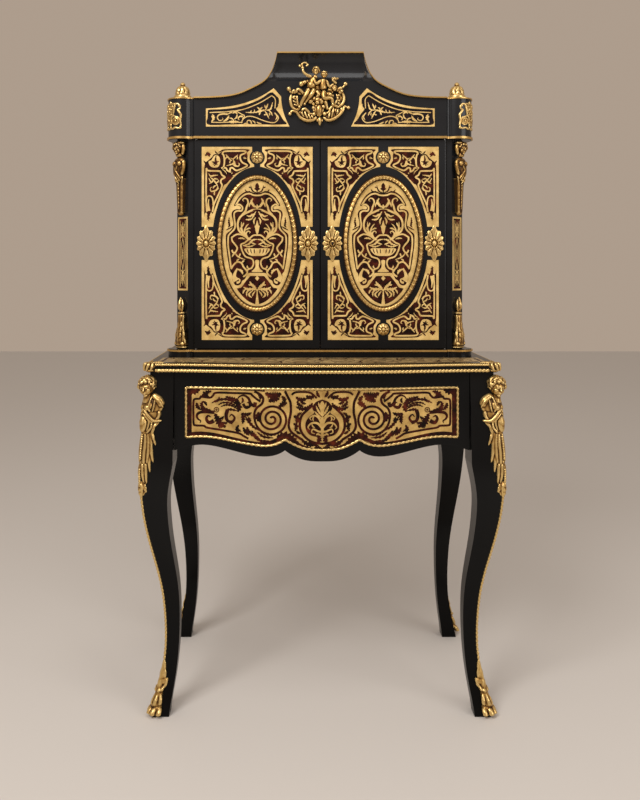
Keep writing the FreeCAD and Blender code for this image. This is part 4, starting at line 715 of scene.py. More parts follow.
def grown(outline, reach):
    """A closed outline, run clockwise on the drawing, its points moved out by reach along their normals."""
    across, down = (np.roll(outline, -1, 0) - np.roll(outline, 1, 0)).T
    return outline + reach * np.stack([down, -across], 1) / np.hypot(across, down)[:, None]


def frieze_marquetry():
    """Shell fields framed in brass on both sides of the crest, with strapwork and leaf sprays."""
    for side in (-1, 1):
        def on_frieze(u, v, lift):
            x = side * (FRIEZE_END_X - (u - FRIEZE_END_U) * FRIEZE_UNIT_X)
            return np.stack([x, FRIEZE_FACE_Y - lift, FRIEZE_FOOT_Z + (FRIEZE_FOOT_V - v) * FRIEZE_UNIT_Z], 1)

        panel = Panel(on_frieze, shell=frieze_shell)
        edges = FRIEZE_FIELD_TOP, FRIEZE_FIELD_SIDE, FRIEZE_FIELD_LOW
        field = np.vstack([smooth_path(edge) for edge in edges])
        panel.plate("shell", grown(field, FRIEZE_FIELD_EASE), FIELD_LIFT)
        panel.strokes("brass", FRIEZE_BRASS, CUT_LIFT)
        panel.finish(f"frieze_{'left' if side < 0 else 'right'}", "desk")


# Canted posts, drawn in millimetres across the cant and up
POST_MIDDLE = (-316.0, -85.0 + LEG_MID_Y)
HALF_ROOT = math.sqrt(0.5)
POST_FIELD = [(-13.5, 919.0), (13.5, 919.0), (13.5, 1080.0), (-13.5, 1080.0)]
POST_BRASS = [
    ("strap", 2.2, (-9, 923), (-9.5, 960), (-9.5, 1040), (-9, 1076)),
    ("leaf", 5, (0, 926), (0, 946), (0, 966)), ("leaf", 5, (0, 1073), (0, 1053), (0, 1033)),
    ("strap", 1.8, (0, 964), (-5, 985), (-5, 1014), (0, 1035)),
    ("leaf", 3.5, (-7, 930), (-4, 942), (-7, 956)), ("leaf", 3.5, (-7, 1069), (-4, 1057), (-7, 1043)),
    ("leaf", 4, (0, 985), (0, 1000), (0, 1014)), ("leaf", 2.6, (0, 950), (-4, 960), (-8, 962)),
    ("leaf", 2.6, (0, 1049), (-4, 1039), (-8, 1037))]


def post_marquetry():
    """Narrow upright strips on the canted corners: brass edged shell with straps and small leaves."""
    for side in (-1, 1):
        def on_post(u, v, lift):
            x = POST_MIDDLE[0] + HALF_ROOT * (u - lift)
            return np.stack([-side * x, POST_MIDDLE[1] - HALF_ROOT * (u + lift), v], 1)

        panel = Panel(on_post)
        panel.plate("shell", np.array(POST_FIELD), FIELD_LIFT)
        panel.strokes("brass", POST_BRASS, CUT_LIFT, 0)
        panel.finish(f"post_{'left' if side < 0 else 'right'}", "desk")


# Desk top: edge lines at shares of the way back, and the curls of the vine between them
DESK_TOP_Z = 763.0
TOP_BOW_REACH = 340.0
TOP_BACK_Y = -115.0 + LEG_MID_Y
TOP_HALF, TOP_DEPTH = 346.0, 125.0
TOP_FRONT_LINE, TOP_BACK_LINE, TOP_LINE_WIDE = 0.07, 0.90, 5.0
VINE_CURLS, VINE_START_X, VINE_STEP, VINE_LINE = 8, -301.0, 86, 0.48
VINE_LEAF_TURNS = (20, 75, 130, 200, 250, 310)
top_bow = bow_of("desk_top_inlay", TOP_BOW_REACH)


def on_top(u, v, lift):
    """u is millimetres across; v runs from 0 at the bowed front edge to 1 at the cabinet."""
    front = top_bow(np.clip(u, -TOP_BOW_REACH, TOP_BOW_REACH))
    return np.stack([u, front + v * (TOP_BACK_Y - front), DESK_TOP_Z + lift], 1)


def top_marquetry():
    """The writing surface: a dark edge line and a running vine of volutes and leaves cut into brass."""
    panel = Panel(on_top, brass=top_brass)

    def cut(right, left):
        panel.sheet("shell", right, left, BOWED_LIFT)

    across = np.linspace(-TOP_HALF, TOP_HALF, 90)
    for line in (TOP_FRONT_LINE, TOP_BACK_LINE):
        half = TOP_LINE_WIDE / 2 / TOP_DEPTH
        cut(*(np.stack([across, 0 * across + line + way * half], 1) for way in (-1, 1)))
    share = np.linspace(TOP_FRONT_LINE, TOP_BACK_LINE, 24)
    for x in (-TOP_HALF, TOP_HALF):
        cut(*(np.stack([0 * share + x + way * TOP_LINE_WIDE / 2, share], 1) for way in (1, -1)))
    squash = np.array((1.0, 1 / TOP_DEPTH))
    for place in range(VINE_CURLS):
        middle = np.array((VINE_START_X + VINE_STEP * place, VINE_LINE))
        turned = 1 if place % 2 else -1
        curl = volute((0, 0), 40, 5, 0.5, turned * 1.9, 70) * squash + middle
        vine = smooth_path([(-43, -turned * 44), (-46, -turned * 20), (-40, 0)]) * squash + middle
        cut(curl - (0, 0.018), curl + (0, 0.018))
        cut(vine - (2.2, 0), vine + (2.2, 0))
        for angle in np.radians(VINE_LEAF_TURNS):
            tip = np.array((math.cos(angle), math.sin(angle)))
            blade = smooth_path([tip * 42, tip * 50 + (3, 2), tip * 58]) * squash + middle
            swell = 2.6 * np.sin(np.pi * np.linspace(0.05, 0.95, len(blade)))
            half = swell[:, None] * np.array((-tip[1], tip[0])) * squash
            cut(blade - half, blade + half)
    panel.finish("desk_top_field", "desk")


drawer_marquetry()
frieze_marquetry()
post_marquetry()
top_marquetry()


FRONT = (0.0, -1.0, 0.0)
ACROSS = (1.0, 0.0, 0.0)
UPWARD = (0.0, 0.0, 1.0)
# Outward in the drawings of the castings, which are (sideways, outward, height)
DRAWN_OUT = (0.0, 1.0, 0.0)


def unit(vectors):
    """The vectors brought to length one."""
    return vectors / np.maximum(np.linalg.norm(vectors, axis=-1, keepdims=True), 1e-9)


def skin(grid):
    """Faces over a grid of points: closed round the second index and capped at both ends of the first."""
    n, m = grid.shape[:2]
    index = np.arange(n * m).reshape(n, m)
    after = np.roll(index, -1, 1)
    quads = np.stack([index[:-1], after[:-1], after[1:], index[1:]], -1).reshape(-1, 4).tolist()
    return grid.reshape(-1, 3), quads + [index[0, ::-1].tolist(), index[-1].tolist()]


def path_frame(path, out):
    """Sideways and outward directions at each point of a path; out says roughly where outward is."""
    along = unit(np.gradient(path, axis=0))
    outward = np.broadcast_to(np.asarray(out, float), path.shape)
    outward = unit(outward - along * np.sum(outward * along, 1, keepdims=True))
    return np.cross(outward, along), outward


def tube(path, radius, out=DRAWN_OUT, flat=1.0, around=12):
    """A round rod along a path: radius may change along it and round it; flat squeezes it outward."""
    side, outward = path_frame(path, out)
    turn = np.linspace(0, 2 * math.pi, around, endpoint=False)[None, :, None]
    reach = np.broadcast_to(np.reshape(radius, (len(path), -1)), (len(path), around))[..., None]
    ring = np.cos(turn) * side[:, None, :] + flat * np.sin(turn) * outward[:, None, :]
    return skin(path[:, None, :] + reach * ring)


def along_path(path):
    """Distance run along a path at each of its points."""
    return np.concatenate([[0], np.cumsum(np.linalg.norm(np.diff(path, axis=0), axis=1))])


def even_path(path, step):
    """The same path with its points an even step apart."""
    run = along_path(path)
    stops = np.linspace(0, run[-1], max(int(run[-1] / step), 2) + 1)
    return np.stack([np.interp(stops, run, path[:, i]) for i in range(3)], 1)


def rope(path, radius, pitch, out, depth):
    """A twisted rope of two round strands, whose humps go round the rod once for each pitch run along it."""
    around = 14
    path = even_path(path, pitch / 7)
    turn = np.linspace(0, 2 * math.pi, around, endpoint=False)
    phase = turn[None, :] - 2 * math.pi * along_path(path)[:, None] / pitch
    return tube(path, radius * (1 - depth + depth * np.abs(np.cos(phase))), out, around=around)


def beading(path, radius, pitch, out, waist):
    """A row of beads: the radius swells and closes once for each pitch."""
    path = even_path(path, pitch / 6)
    swell = np.abs(np.sin(math.pi * along_path(path) / pitch)) ** 0.6
    return tube(path, radius * (waist + (1 - waist) * swell), out, around=10)


def dome(outline, height, rings):
    """A solid over a closed outline; height(share, angle) is its rise, with share 1 at the rim."""
    angle = np.linspace(0, 2 * math.pi, len(outline), endpoint=False)
    share = np.linspace(1, 0.02, rings)
    rise = height(share[:, None], angle[None, :])
    top = np.concatenate([share[:, None, None] * outline[None], rise[..., None]], 2)
    base = np.concatenate([outline, np.zeros((len(outline), 1))], 1)[None]
    return skin(np.concatenate([base, top]))


def ball(centre, radii, out=FRONT):
    """A closed ball with radii across, outward and upward, turned so that outward points along out."""
    high = np.linspace(-math.pi / 2 + 0.08, math.pi / 2 - 0.08, 11)[:, None]
    turn = np.linspace(0, 2 * math.pi, 18, endpoint=False)[None, :]
    level = radii[0] * np.cos(high) * np.cos(turn), radii[1] * np.cos(high) * np.sin(turn)
    grid = np.stack([*level, radii[2] * np.sin(high) + 0 * turn], -1)
    out = unit(np.array((out[0], out[1], 0.0)))
    across = np.cross(out, UPWARD)
    points, faces = skin(grid)
    return points @ np.array([across, out, UPWARD]) + np.asarray(centre, float), faces


def rod(points, radii, flat=1.0):
    """A smooth rod with rounded ends through listed points, its radius passing through the given ones."""
    path = smooth_path(points, per_span=8)
    share = np.linspace(0, 1, len(path))
    radius = np.interp(share, np.linspace(0, 1, len(radii)), radii)
    tip = np.clip(np.minimum(share, 1 - share) * len(path) / 3, 0, 1)
    return tube(path, radius * np.sqrt(1 - (1 - tip) ** 2 + 0.02), flat=flat)


def leaf(points, width, lobes, crown, thick, out=DRAWN_OUT):
    """A cast leaf along a path: a crowned section with midrib and veins, scalloped edges, tapering ends."""
    path = smooth_path(points, per_span=10)
    side, outward = path_frame(path, out)
    share = np.linspace(0.03, 0.97, len(path))[:, None]
    t = np.linspace(-1, 1, 13)[None, :]
    scallop = 0.74 + 0.26 * np.abs(np.sin(math.pi * lobes * share)) ** 0.7
    half = 0.5 * width * np.sin(math.pi * share ** 0.8) ** 0.65 * scallop
    vein = 0.45 * np.cos(2 * math.pi * lobes * (share + 0.12 * np.abs(t)))
    arch = crown * (1 - t ** 2) * np.sin(math.pi * share)
    rise = arch + 0.9 * np.exp(-((t / 0.16) ** 2)) + vein * np.abs(t)
    spread = path[:, None, :] + (half * t)[..., None] * side[:, None, :]
    top = spread + rise[..., None] * outward[:, None, :]
    under = spread + (arch - thick)[..., None] * outward[:, None, :]
    return skin(np.concatenate([top[:, ::-1], under], 1))


def join(shapes):
    """Several point and face sets as one."""
    starts = np.cumsum([0] + [len(points) for points, _ in shapes])
    faces = [[start + i for i in face] for start, (_, part) in zip(starts, shapes) for face in part]
    return np.vstack([points for points, _ in shapes]), faces


def on_face(shape, centre, across, upward, out):
    """A shape drawn as (across, up, out) set on the desk at a centre."""
    points, faces = shape
    place = np.array([across, upward, out], float)
    faces = faces if np.linalg.det(place) > 0 else turned_over(faces)
    return points @ place + np.asarray(centre, float), faces


def mirrored(shape):
    """The mirror image of a shape across the desk's middle, or across the middle of its drawing."""
    return shape[0] * (-1, 1, 1), turned_over(shape[1])


def both_sides(shapes):
    """The shapes and their mirror images."""
    return shapes + [mirrored(shape) for shape in shapes]


NEAR_RINGS, FAR_RINGS = 3, 24


def mark_hollows(piece, share, tone_shift):
    """Marks each point with how far its neighbours' mean lies outside it along its normal, in edge lengths.

    The value is eased over the near rings of neighbours, for patina and painted shade in fine hollows, and,
    twice as strong, over the far ones, for painted shade between parts; share scales it and the last argument
    adds to it, or takes from it to lighten a piece.
    """
    mesh = piece.data
    count = len(mesh.vertices)
    points, normals = np.empty((count, 3)), np.empty((count, 3))
    mesh.vertices.foreach_get("co", points.ravel())
    mesh.vertices.foreach_get("normal", normals.ravel())
    edges = np.empty((len(mesh.edges), 2), int)
    mesh.edges.foreach_get("vertices", edges.ravel())
    one, two = np.concatenate([edges, edges[:, ::-1]]).T
    shares = np.maximum(np.bincount(one, minlength=count), 1)

    def around(values):
        return np.bincount(one, values[two], count) / shares

    mean = np.stack([around(points[:, i]) for i in range(3)], 1)
    edge_length = np.mean(np.linalg.norm(points[one] - points[two], axis=1))
    broad = np.sum((mean - points) * normals, 1) / edge_length
    for ring in range(1, FAR_RINGS + 1):
        broad = 0.4 * broad + 0.6 * around(broad)
        if ring == NEAR_RINGS:
            hollow = broad
    marks = mesh.attributes.new("hollow", "FLOAT", "POINT")
    marks.data.foreach_set("value", share * (hollow + 2 * broad) + tone_shift)


def mount(name, shapes, body, slot, *nodes, share=1.0, tone_shift=0.0):
    """A gilt piece riding a body and standing for the nodes."""
    points, faces = join(shapes)
    piece = piece_from(name, points, faces, finishes["gilt_bronze"], True)
    mark_hollows(piece, share, tone_shift)
    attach(piece, body)
    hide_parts(*nodes)


def cast(name, shapes, body, nodes, grain, soften, twin=None, tone_shift=0.0):
    """Shapes run together as one casting, filled on an even grid and softened.

    twin, given as (name, nodes), adds its mirror image.
    """
    points, faces = join(shapes)
    rough = piece_from(name + "_rough", points, faces, finishes["gilt_bronze"])
    fill = rough.modifiers.new("fill", "REMESH")
    fill.mode = "VOXEL"
    fill.voxel_size = grain * MM
    ease = rough.modifiers.new("ease", "SMOOTH")
    ease.iterations = soften
    shown = rough.evaluated_get(bpy.context.evaluated_depsgraph_get()).to_mesh()
    points = np.empty((len(shown.vertices), 3))
    shown.vertices.foreach_get("co", points.ravel())
    corners = np.empty(len(shown.loops), int)
    shown.loops.foreach_get("vertex_index", corners)
    casting = points / MM, corners.reshape(-1, 4).tolist()
    bpy.data.objects.remove(rough)
    mount(name, [casting], body, "gilt_bronze", *nodes, tone_shift=tone_shift)
    if twin:
        mount(twin[0], [mirrored(casting)], body, "gilt_bronze", *twin[1], tone_shift=tone_shift)


OVAL_OUTER, OVAL_WIDE, OVAL_PROUD = (93.0, 157.0), 13.5, 5.0
ROSETTE_X, BOSS_Z = 116.0, 196.0


def oval_frame():
    """The cast oval ring: a bead at each edge and overlapping leaves between, all pointing one way round."""
    leaves, across = 74, 21
    angle = np.linspace(0, 2 * math.pi, leaves * 12, endpoint=False)
    t = np.linspace(-1, 1, across)[None, :]
    inset = OVAL_WIDE * (1 - t) / 2
    way = np.stack([np.cos(angle), np.sin(angle)], 1)[:, None, :]
    ring = (OVAL_OUTER - inset[..., None]) * way
    run = (angle * leaves / (2 * math.pi))[:, None]
    q = (run - 0.35 * np.abs(t)) % 1
    full = np.clip(1 - (1.4 * t) ** 4, 0, 1) ** 0.5
    leafage = full * (0.45 + 0.4 * q ** 0.7 + 0.15 * np.cos(5 * t) ** 2)
    round_edge = np.clip(1 - ((np.abs(t) - 0.84) / 0.16) ** 2, 0, 1) ** 0.5
    bead = round_edge * (0.6 + 0.4 * np.abs(np.sin(math.pi * run * 2)))
    rise = 0.6 + (OVAL_PROUD - 0.6) * np.maximum(0.85 * leafage, bead)
    top = np.concatenate([ring, rise[..., None]], 2)
    foot = np.concatenate([ring[:, [-1, 0]], np.zeros((len(angle), 2, 1))], 2)
    section = np.concatenate([top, foot], 1)
    points, faces = skin(np.concatenate([section, section[:1]])[:, ::-1])
    return points, faces[:-2]


def petal_outline(tips, valley, sharp, count):
    """A leafy outline from (angle, length) tips round a full turn, dipping to a share between them."""
    angle = np.linspace(0, 2 * math.pi, count, endpoint=False)
    degrees = np.degrees(angle)
    at = np.array([a for a, _ in tips] + [tips[0][0] + 360])
    length = np.array([r for _, r in tips] + [tips[0][1]])
    which = np.clip(np.searchsorted(at, degrees, side="right") - 1, 0, len(at) - 2)
    share = (degrees - at[which]) / (at[which + 1] - at[which])
    reach = length[which] * (1 - share) + length[which + 1] * share
    dip = 1 - (1 - valley) * np.sin(math.pi * share) ** sharp
    return np.stack([reach * dip * np.cos(angle), reach * dip * np.sin(angle)], 1), share


ROSETTE_TIPS = [
    (0, 23), (34, 25), (62, 31), (90, 42), (118, 31), (146, 25), (180, 23), (214, 25), (242, 31), (270, 42),
    (298, 31), (326, 25)]


def rosette():
    """A cast flower: twelve rounded ribbed petals, long above and below, and an oval button in a ring."""
    outline, share = petal_outline(ROSETTE_TIPS, 0.83, 2.0, 432)
    reach = np.linalg.norm(outline, axis=1)
    off_rib = np.minimum(share, 1 - share)[None, :]

    def height(s, angle):
        radius = np.hypot(s * reach * np.cos(angle), 0.8 * s * reach * np.sin(angle))
        petal = np.clip(1 - (2 * off_rib) ** 3, 0, 1)
        vein = 0.55 * np.cos(10 * math.pi * off_rib) * np.clip(s - 0.3, 0, 0.5)
        groove = 1.3 * np.exp(-(off_rib / 0.035) ** 2) * np.clip(s - 0.25, 0, 0.6)
        petals = 1.5 + 2.9 * petal * np.clip(1.02 - s ** 3, 0, 1) ** 0.5 + vein - groove
        ring = 2.2 * np.exp(-((radius - 9.0) / 1.5) ** 2)
        button = 3.4 * np.clip(1 - (radius / 5.4) ** 2, 0, 1) ** 0.5
        return np.clip(petals + ring + button - 1.8 * np.exp(-((radius - 6.6) / 0.9) ** 2), 0.4, 8)

    return dome(outline, height, 34)


def boss():
    """A small domed flower of eight petals with a raised middle."""
    angle = np.linspace(0, 2 * math.pi, 96, endpoint=False)
    scallop = 0.93 + 0.07 * np.abs(np.cos(4 * angle))
    outline = 14.0 * scallop[:, None] * np.stack([np.cos(angle), np.sin(angle)], 1)

    def height(s, turn):
        petal = np.abs(np.cos(4 * turn)) ** 0.7
        cup = 1.0 + 6.2 * np.clip(1 - s ** 2.4, 0, 1) * (0.72 + 0.28 * petal)
        return cup + 1.7 * np.clip(1 - (s / 0.3) ** 2, 0, 1) ** 0.5 - 1.0 * np.exp(-((s - 0.36) / 0.06) ** 2)

    return dome(outline, height, 22)


def door_mounts(side, body, label):
    """Ring, two rosettes and two bosses on one door."""
    def on_door(shape, x, z):
        return on_face(shape, (side * DOOR_X + x, DOOR_FACE_Y, DOOR_Z + z), ACROSS, UPWARD, FRONT)

    ring = [on_door(oval_frame(), 0, 0)]
    # The negative shifts lighten the ring, rosettes and bosses all over as painted light
    mount(f"{label}_oval_leaf_ring", ring, body, "gilt_bronze", f"{label}_oval_ring", share=0.7, tone_shift=-0.06)
    flowers = [on_door(rosette(), x, 0) for x in (-ROSETTE_X, ROSETTE_X)]
    cast(f"{label}_flower_rosettes", flowers, body, [f"{label}_door_rosettes"], 0.5, 1, tone_shift=-0.045)
    bosses = [on_door(boss(), 0, z) for z in (-BOSS_Z, BOSS_Z)]
    cast(f"{label}_petal_bosses", bosses, body, [f"{label}_door_bosses"], 0.5, 1, tone_shift=-0.03)


door_mounts(-1, "left_door", "left")
door_mounts(1, "right_door", "right")


def keyhole():
    """A keyhole in the button of the right door's inner rosette: a dark plate painted as the shade inside the
    hole.
    """
    radius, proud, lift = 3.2, 6.5, 1.4
    turn = np.radians(np.linspace(-60, 240, 24))
    eye = np.stack([radius * np.cos(turn), 0.4 + radius * np.sin(turn)], 1)

    def on_button(u, v, lift):
        return np.stack([DOOR_X - ROSETTE_X + u, DOOR_FACE_Y - proud - lift, DOOR_Z + v], 1)

    panel = Panel(on_button, shell=frieze_shell)
    panel.plate("shell", np.vstack([eye, [(-1.9, -5.4), (1.9, -5.4)]]), lift)
    panel.finish("keyhole", "right_door")


keyhole()

FRAME_LOBES = [(295, 599), (262, 601), (226, 599), (170, 590), (125, 585), (98, 589), (79, 599)]
FRAME_CENTRE = [(79, 599), (58, 588), (34, 579.5), (0, 577)]
FRAME_HALF = 295.0
ROPE_MIDDLE = 3.0


def drawer_rope():
    """The gilt rope round the drawer's marquetry, following its cusped lower edge and its bow."""
    lobes = smooth_path(FRAME_LOBES) + (0, ROPE_MIDDLE)
    end, top = FRAME_HALF - ROPE_MIDDLE, DRAWER_TOP_Z - ROPE_MIDDLE
    lobes[:, 0] = np.minimum(lobes[:, 0], end)
    middle = smooth_path(FRAME_CENTRE) + (0, ROPE_MIDDLE)
    right = np.vstack([lobes, middle[1:]])[::-1]
    low = np.vstack([(right * (-1, 1))[::-1][:-1], right])
    upper = np.array([(end, top), (0, top), (-end, top)])
    ends = [np.array([(x, 602), (x, 650), (x, top)]) for x in (end, -end)]
    shapes = []
    for run in (low, upper, *ends):
        run = even_path(np.stack([run[:, 0], 0 * run[:, 0], run[:, 1]], 1), 2.0)
        run[:, 1] = drawer_bow(np.clip(run[:, 0], -DRAWER_BOW_REACH, DRAWER_BOW_REACH)) - 0.6
        shapes.append(rope(run, 3.0, 21.0, FRONT, 0.42))
    mount("drawer_rope", shapes, "drawer", "brass_line", "drawer_rope_frame")


def top_edge_run(node, grow, height):
    """A node's line along the desk top's front and sides, grown by a margin; clasps hide its mitres."""
    bow = bow_of(node, TOP_BOW_REACH)
    x = np.linspace(-356, 356, 120)
    edge = bow(np.clip(x, -TOP_BOW_REACH, TOP_BOW_REACH))
    front = np.stack([x, edge + grow, 0 * x + height], 1)
    side = np.array([(-372 - grow, y, height) for y in (edge[0] + 16, 0, 232 + LEG_MID_Y)])
    return [front, side, side * (-1, 1, 1)]


def top_mouldings():
    """A ribbed strip along the upper edge and a twisted gadroon along the lower one."""
    upper, lower = [], []
    upper_runs = top_edge_run("top_upper_moulding", 1.2, 759.5)
    lower_runs = top_edge_run("top_lower_moulding", 2.0, 747.0)
    outs = FRONT, (-1, 0, 0), ACROSS
    sinks = (0.2, 2.0), (-1.6, -2.2), (-1.6, -2.2)
    for high, low, out, (upper_sink, lower_sink) in zip(upper_runs, lower_runs, outs, sinks):
        upper.append(beading(high - upper_sink * np.array(out), 2.9, 4.6, out, 0.72))
        lower.append(rope(low - lower_sink * np.array(out), 4.0, 16.0, out, 0.4))
    mount("top_ribbed_edge", upper, "desk", "brass_line", "top_upper_moulding")
    mount("top_gadroon_edge", lower, "desk", "brass_line", "top_lower_moulding")


drawer_rope()
top_mouldings()

# Front legs: height and reach of the outer arris, which comes forward as far as it goes out
ARRIS_SHIFT = 154.0
LEG_REACH = np.array([(0, 365), (24, 360), (60, 351), (105, 343), (150, 339.5), (200, 340), (255, 344.5),
                      (300, 352), (345, 362), (390, 372), (435, 380),
                      (480, 385), (520, 386.5), (555, 385.5), (620, 380.5), (690, 373.5), (743, 368.5)])


def leg_beads():
    """A fine row of beads down the arris of each front leg."""
    run = smooth_path([(-reach, ARRIS_SHIFT - reach + LEG_MID_Y, z) for z, reach in LEG_REACH[3:12]])
    line = beading(run, 2.9, 8.7, (-1, -1, 0), 0.4)
    mount("leg_bead_rows", [line, mirrored(line)], "desk", "gilt_bronze", "leg_edge_beads")


leg_beads()


# Axis of the cornice's left front corner, which finial and fretwork stand round
CORNER_AXIS = (-317.0, -78.0 + LEG_MID_Y)
FINIAL_FOOT_Z = 1355.0


def finial():
    """A leafy bell on a broad moulded foot with a small pine bud, turned and fluted."""
    profile = smooth_path([(20.4, 0), (20.5, 4), (20.4, 7), (19.4, 9), (16.6, 10.5), (17.2, 12.5),
                           (16.6, 16), (16.2, 20), (14.8, 25), (11.2, 29.5), (7.0, 32),
                           (5.2, 33.5), (6.2, 35), (5.4, 37), (3.4, 39.5), (0.6, 41)], per_span=4)
    turn = np.linspace(0, 2 * math.pi, 72, endpoint=False)
    leafy = np.clip(np.minimum((profile[:, 1] - 10) / 4, (33 - profile[:, 1]) / 4), 0, 1)[:, None]
    fold = np.abs(np.cos(4 * turn[None, :] + 0.35 * np.sin(0.4 * profile[:, 1:])))
    ripple = 0.05 * leafy * np.cos(24 * turn[None, :]) * np.sin(0.5 * profile[:, 1:])
    reach = profile[:, :1] * (1 - 0.20 * leafy * (1 - fold ** 0.6) + ripple)
    height = np.broadcast_to(profile[:, 1:], reach.shape)
    return skin(np.stack([reach * np.cos(turn), reach * np.sin(turn), height], -1))


def finials():
    """The finials on both front corners of the cornice."""
    points, faces = finial()
    right = points + (-CORNER_AXIS[0], CORNER_AXIS[1], FINIAL_FOOT_Z), faces
    mount("leaf_finials", [right, mirrored(right)], "desk", "gilt_bronze", "finials")


finials()

# Fretwork, drawn as millimetres of arc from the corner's middle and up from its foot
FRET_RADIUS, FRET_FOOT_Z = 33.0, 1282.0
FRET_MIDDLE_TURN = math.radians(225)
FRET_BALLS = [
    (0, 61, 3.2), (0, 33, 4.0), (0, 10, 3.6), (0, 46, 3.2), (-14, 19, 3.0), (14, 19, 3.0), (-25, 4, 3.0),
    (25, 4, 3.0), (-22, 54, 3.2), (22, 54, 3.2), (-26, 33, 2.6), (26, 33, 2.6)]
FRET_SCROLLS = [
    [(0, 33), (7, 34), (9, 45), (12, 57), (5, 58.5), (0, 58)], [(0, 39), (4.5, 40), (6.5, 52), (0, 52.5)],
    [(12, 56), (18, 58), (24, 53), (24, 47), (19, 44), (23, 38), (26, 32), (24.5, 20), (26, 9), (22, 2.5),
     (12, 4), (6, 1.5), (0, 3)],
    volute((14, 19), 9.5, 2.2, 0.25, -2.2, 24), [(14, 28.5), (8, 31), (2.5, 28), (2, 20), (4, 13)],
    [(0, 3), (0, 16), (0, 32)]]


def fretwork():
    """Pierced scrolls bent round the cornice corner: flat rods on the cylinder, leafy where they meet."""
    shapes = []
    for flat in [smooth_path(np.array(run) * (way, 1)) for run in FRET_SCROLLS for way in (1, -1)]:
        angle = FRET_MIDDLE_TURN + flat[:, 0] / FRET_RADIUS
        away = np.stack([np.cos(angle), np.sin(angle), 0 * angle], 1)
        rise = np.stack([0 * angle, 0 * angle, flat[:, 1]], 1)
        path = np.array((*CORNER_AXIS, FRET_FOOT_Z)) + (FRET_RADIUS + 0.8) * away + rise
        share = np.linspace(0, 1, len(path))
        thick = 2.0 + 0.7 * np.sin(math.pi * share) + 0.4 * np.cos(14 * share)
        shapes.append(tube(path, thick, away, 0.8, 8))
    for arc, height, size in FRET_BALLS:
        angle = FRET_MIDDLE_TURN + arc / FRET_RADIUS
        away = np.array((math.cos(angle), math.sin(angle), 0))
        middle = np.array((*CORNER_AXIS, FRET_FOOT_Z + height)) + (FRET_RADIUS + 1.2) * away
        shapes.append(ball(middle, (size, 2.0, size * 1.15), away))
    twin = "right_corner_fret", ["corner_fretwork"]
    cast("left_corner_fret", shapes, "desk", ["corner_fretwork"], 0.6, 1, twin)


fretwork()


def curls(centre, radii, rows, size):
    """Curls: small balls in rings over a skull; a row is (height angle, first turn, last turn, count)."""
    made = []
    for high, first, last, count in rows:
        up = math.radians(high)
        for turn in np.radians(np.linspace(first, last, count)):
            level = radii[0] * math.cos(up) * math.sin(turn), radii[1] * math.cos(up) * math.cos(turn)
            offset = (*level, radii[2] * math.sin(up))
            made.append(ball(np.add(centre, offset), (size, size, 0.9 * size), DRAWN_OUT))
    return made


def calm_face(centre, size, look):
    """A young, general face on a skull; look is its turn from outward in degrees."""
    turn = math.radians(look)
    forward = np.array((math.sin(turn), math.cos(turn), 0))
    across = np.array((math.cos(turn), -math.sin(turn), 0))

    def spot(a, b, c):
        return np.asarray(centre, float) + size * (a * across + b * forward + c * np.array(UPWARD))

    def lump(a, b, c, *radii):
        return ball(spot(a, b, c), np.array(radii) * size, forward)

    skull, jaw = lump(0, 0, 0, 0.78, 0.84, 1.0), lump(0, 0.42, -0.38, 0.58, 0.46, 0.55)
    chin, brow = lump(0, 0.72, -0.80, 0.22, 0.2, 0.17), lump(0, 0.68, 0.20, 0.5, 0.17, 0.12)
    bridge = [spot(0, 0.82, 0.16), spot(0, 0.92, -0.06), spot(0, 1.0, -0.22)]
    nose = rod(bridge, np.array((0.07, 0.09, 0.13)) * size)
    lips = lump(0, 0.85, -0.46, 0.2, 0.1, 0.06), lump(0, 0.83, -0.58, 0.16, 0.1, 0.06)
    made = [skull, jaw, chin, brow, nose, *lips]
    for way in (-1, 1):
        eyelid, cheek = (0.28 * way, 0.74, 0.02, 0.13, 0.09, 0.08), (0.36 * way, 0.58, -0.3, 0.24, 0.22, 0.24)
        made += [lump(*eyelid), lump(*cheek)]
    return made


def on_front_corner(shape, x, y):
    """A shape drawn as (sideways, outward, height), turned to face the left front corner from x and y."""
    (a, b, z), faces = shape[0].T, shape[1]
    return np.stack([x + HALF_ROOT * (a - b), y - HALF_ROOT * (a + b), z], 1), turned_over(faces)


def on_leg(shape):
    """A shape drawn as (sideways, outward from the arris, height), bent along the front left leg."""
    reach = np.interp(shape[0][:, 2], *LEG_REACH.T)
    return on_front_corner(shape, -reach, ARRIS_SHIFT - reach + LEG_MID_Y)


def on_cant(shape):
    """A shape drawn as (sideways, outward, height), set on the left canted post."""
    return on_front_corner(shape, *POST_MIDDLE)


def bowed(shapes, centre, degrees):
    """The shapes tipped forward about a centre, as a head nods."""
    turn = math.radians(degrees)
    tip = np.array([(1, 0, 0), (0, math.cos(turn), -math.sin(turn)), (0, math.sin(turn), math.cos(turn))])
    return [((points - centre) @ tip + centre, faces) for points, faces in shapes]


def locks(centre, size, turns, thick, low, look):
    """Wavy hair: rods laid from the crown down a skull to a low angle, at turns from its face in degrees."""
    made = []
    for n, turn in enumerate(turns):
        high = np.radians(np.linspace(80, low, 7))
        sway = np.radians(look + turn + 14 * np.sin(np.linspace(0, 6.5, 7) + 2.4 * n))
        level = 0.84 * np.cos(high) * np.sin(sway), 0.92 * np.cos(high) * np.cos(sway)
        path = np.asarray(centre, float) + size * np.stack([*level, 1.02 * np.sin(high)], 1)
        made.append(rod(path, thick * np.array((0.7, 1.0, 0.8, 1.1, 0.8, 1.1, 0.6))))
    return made


# Hair in degrees: turns of the locks with their low angle, and rings of curls from first to last turn
HAIR_LOCKS = ((-58, -30, 0, 30, 58), 36), ((150, 180, 210), -35), ((-118, -88, 88, 118), -8)
HAIR_CURLS = (-22, 84, 276, 11), (-4, 74, 286, 13), (14, 66, 294, 13), (32, 58, 302, 13), (50, 40, 320, 11)


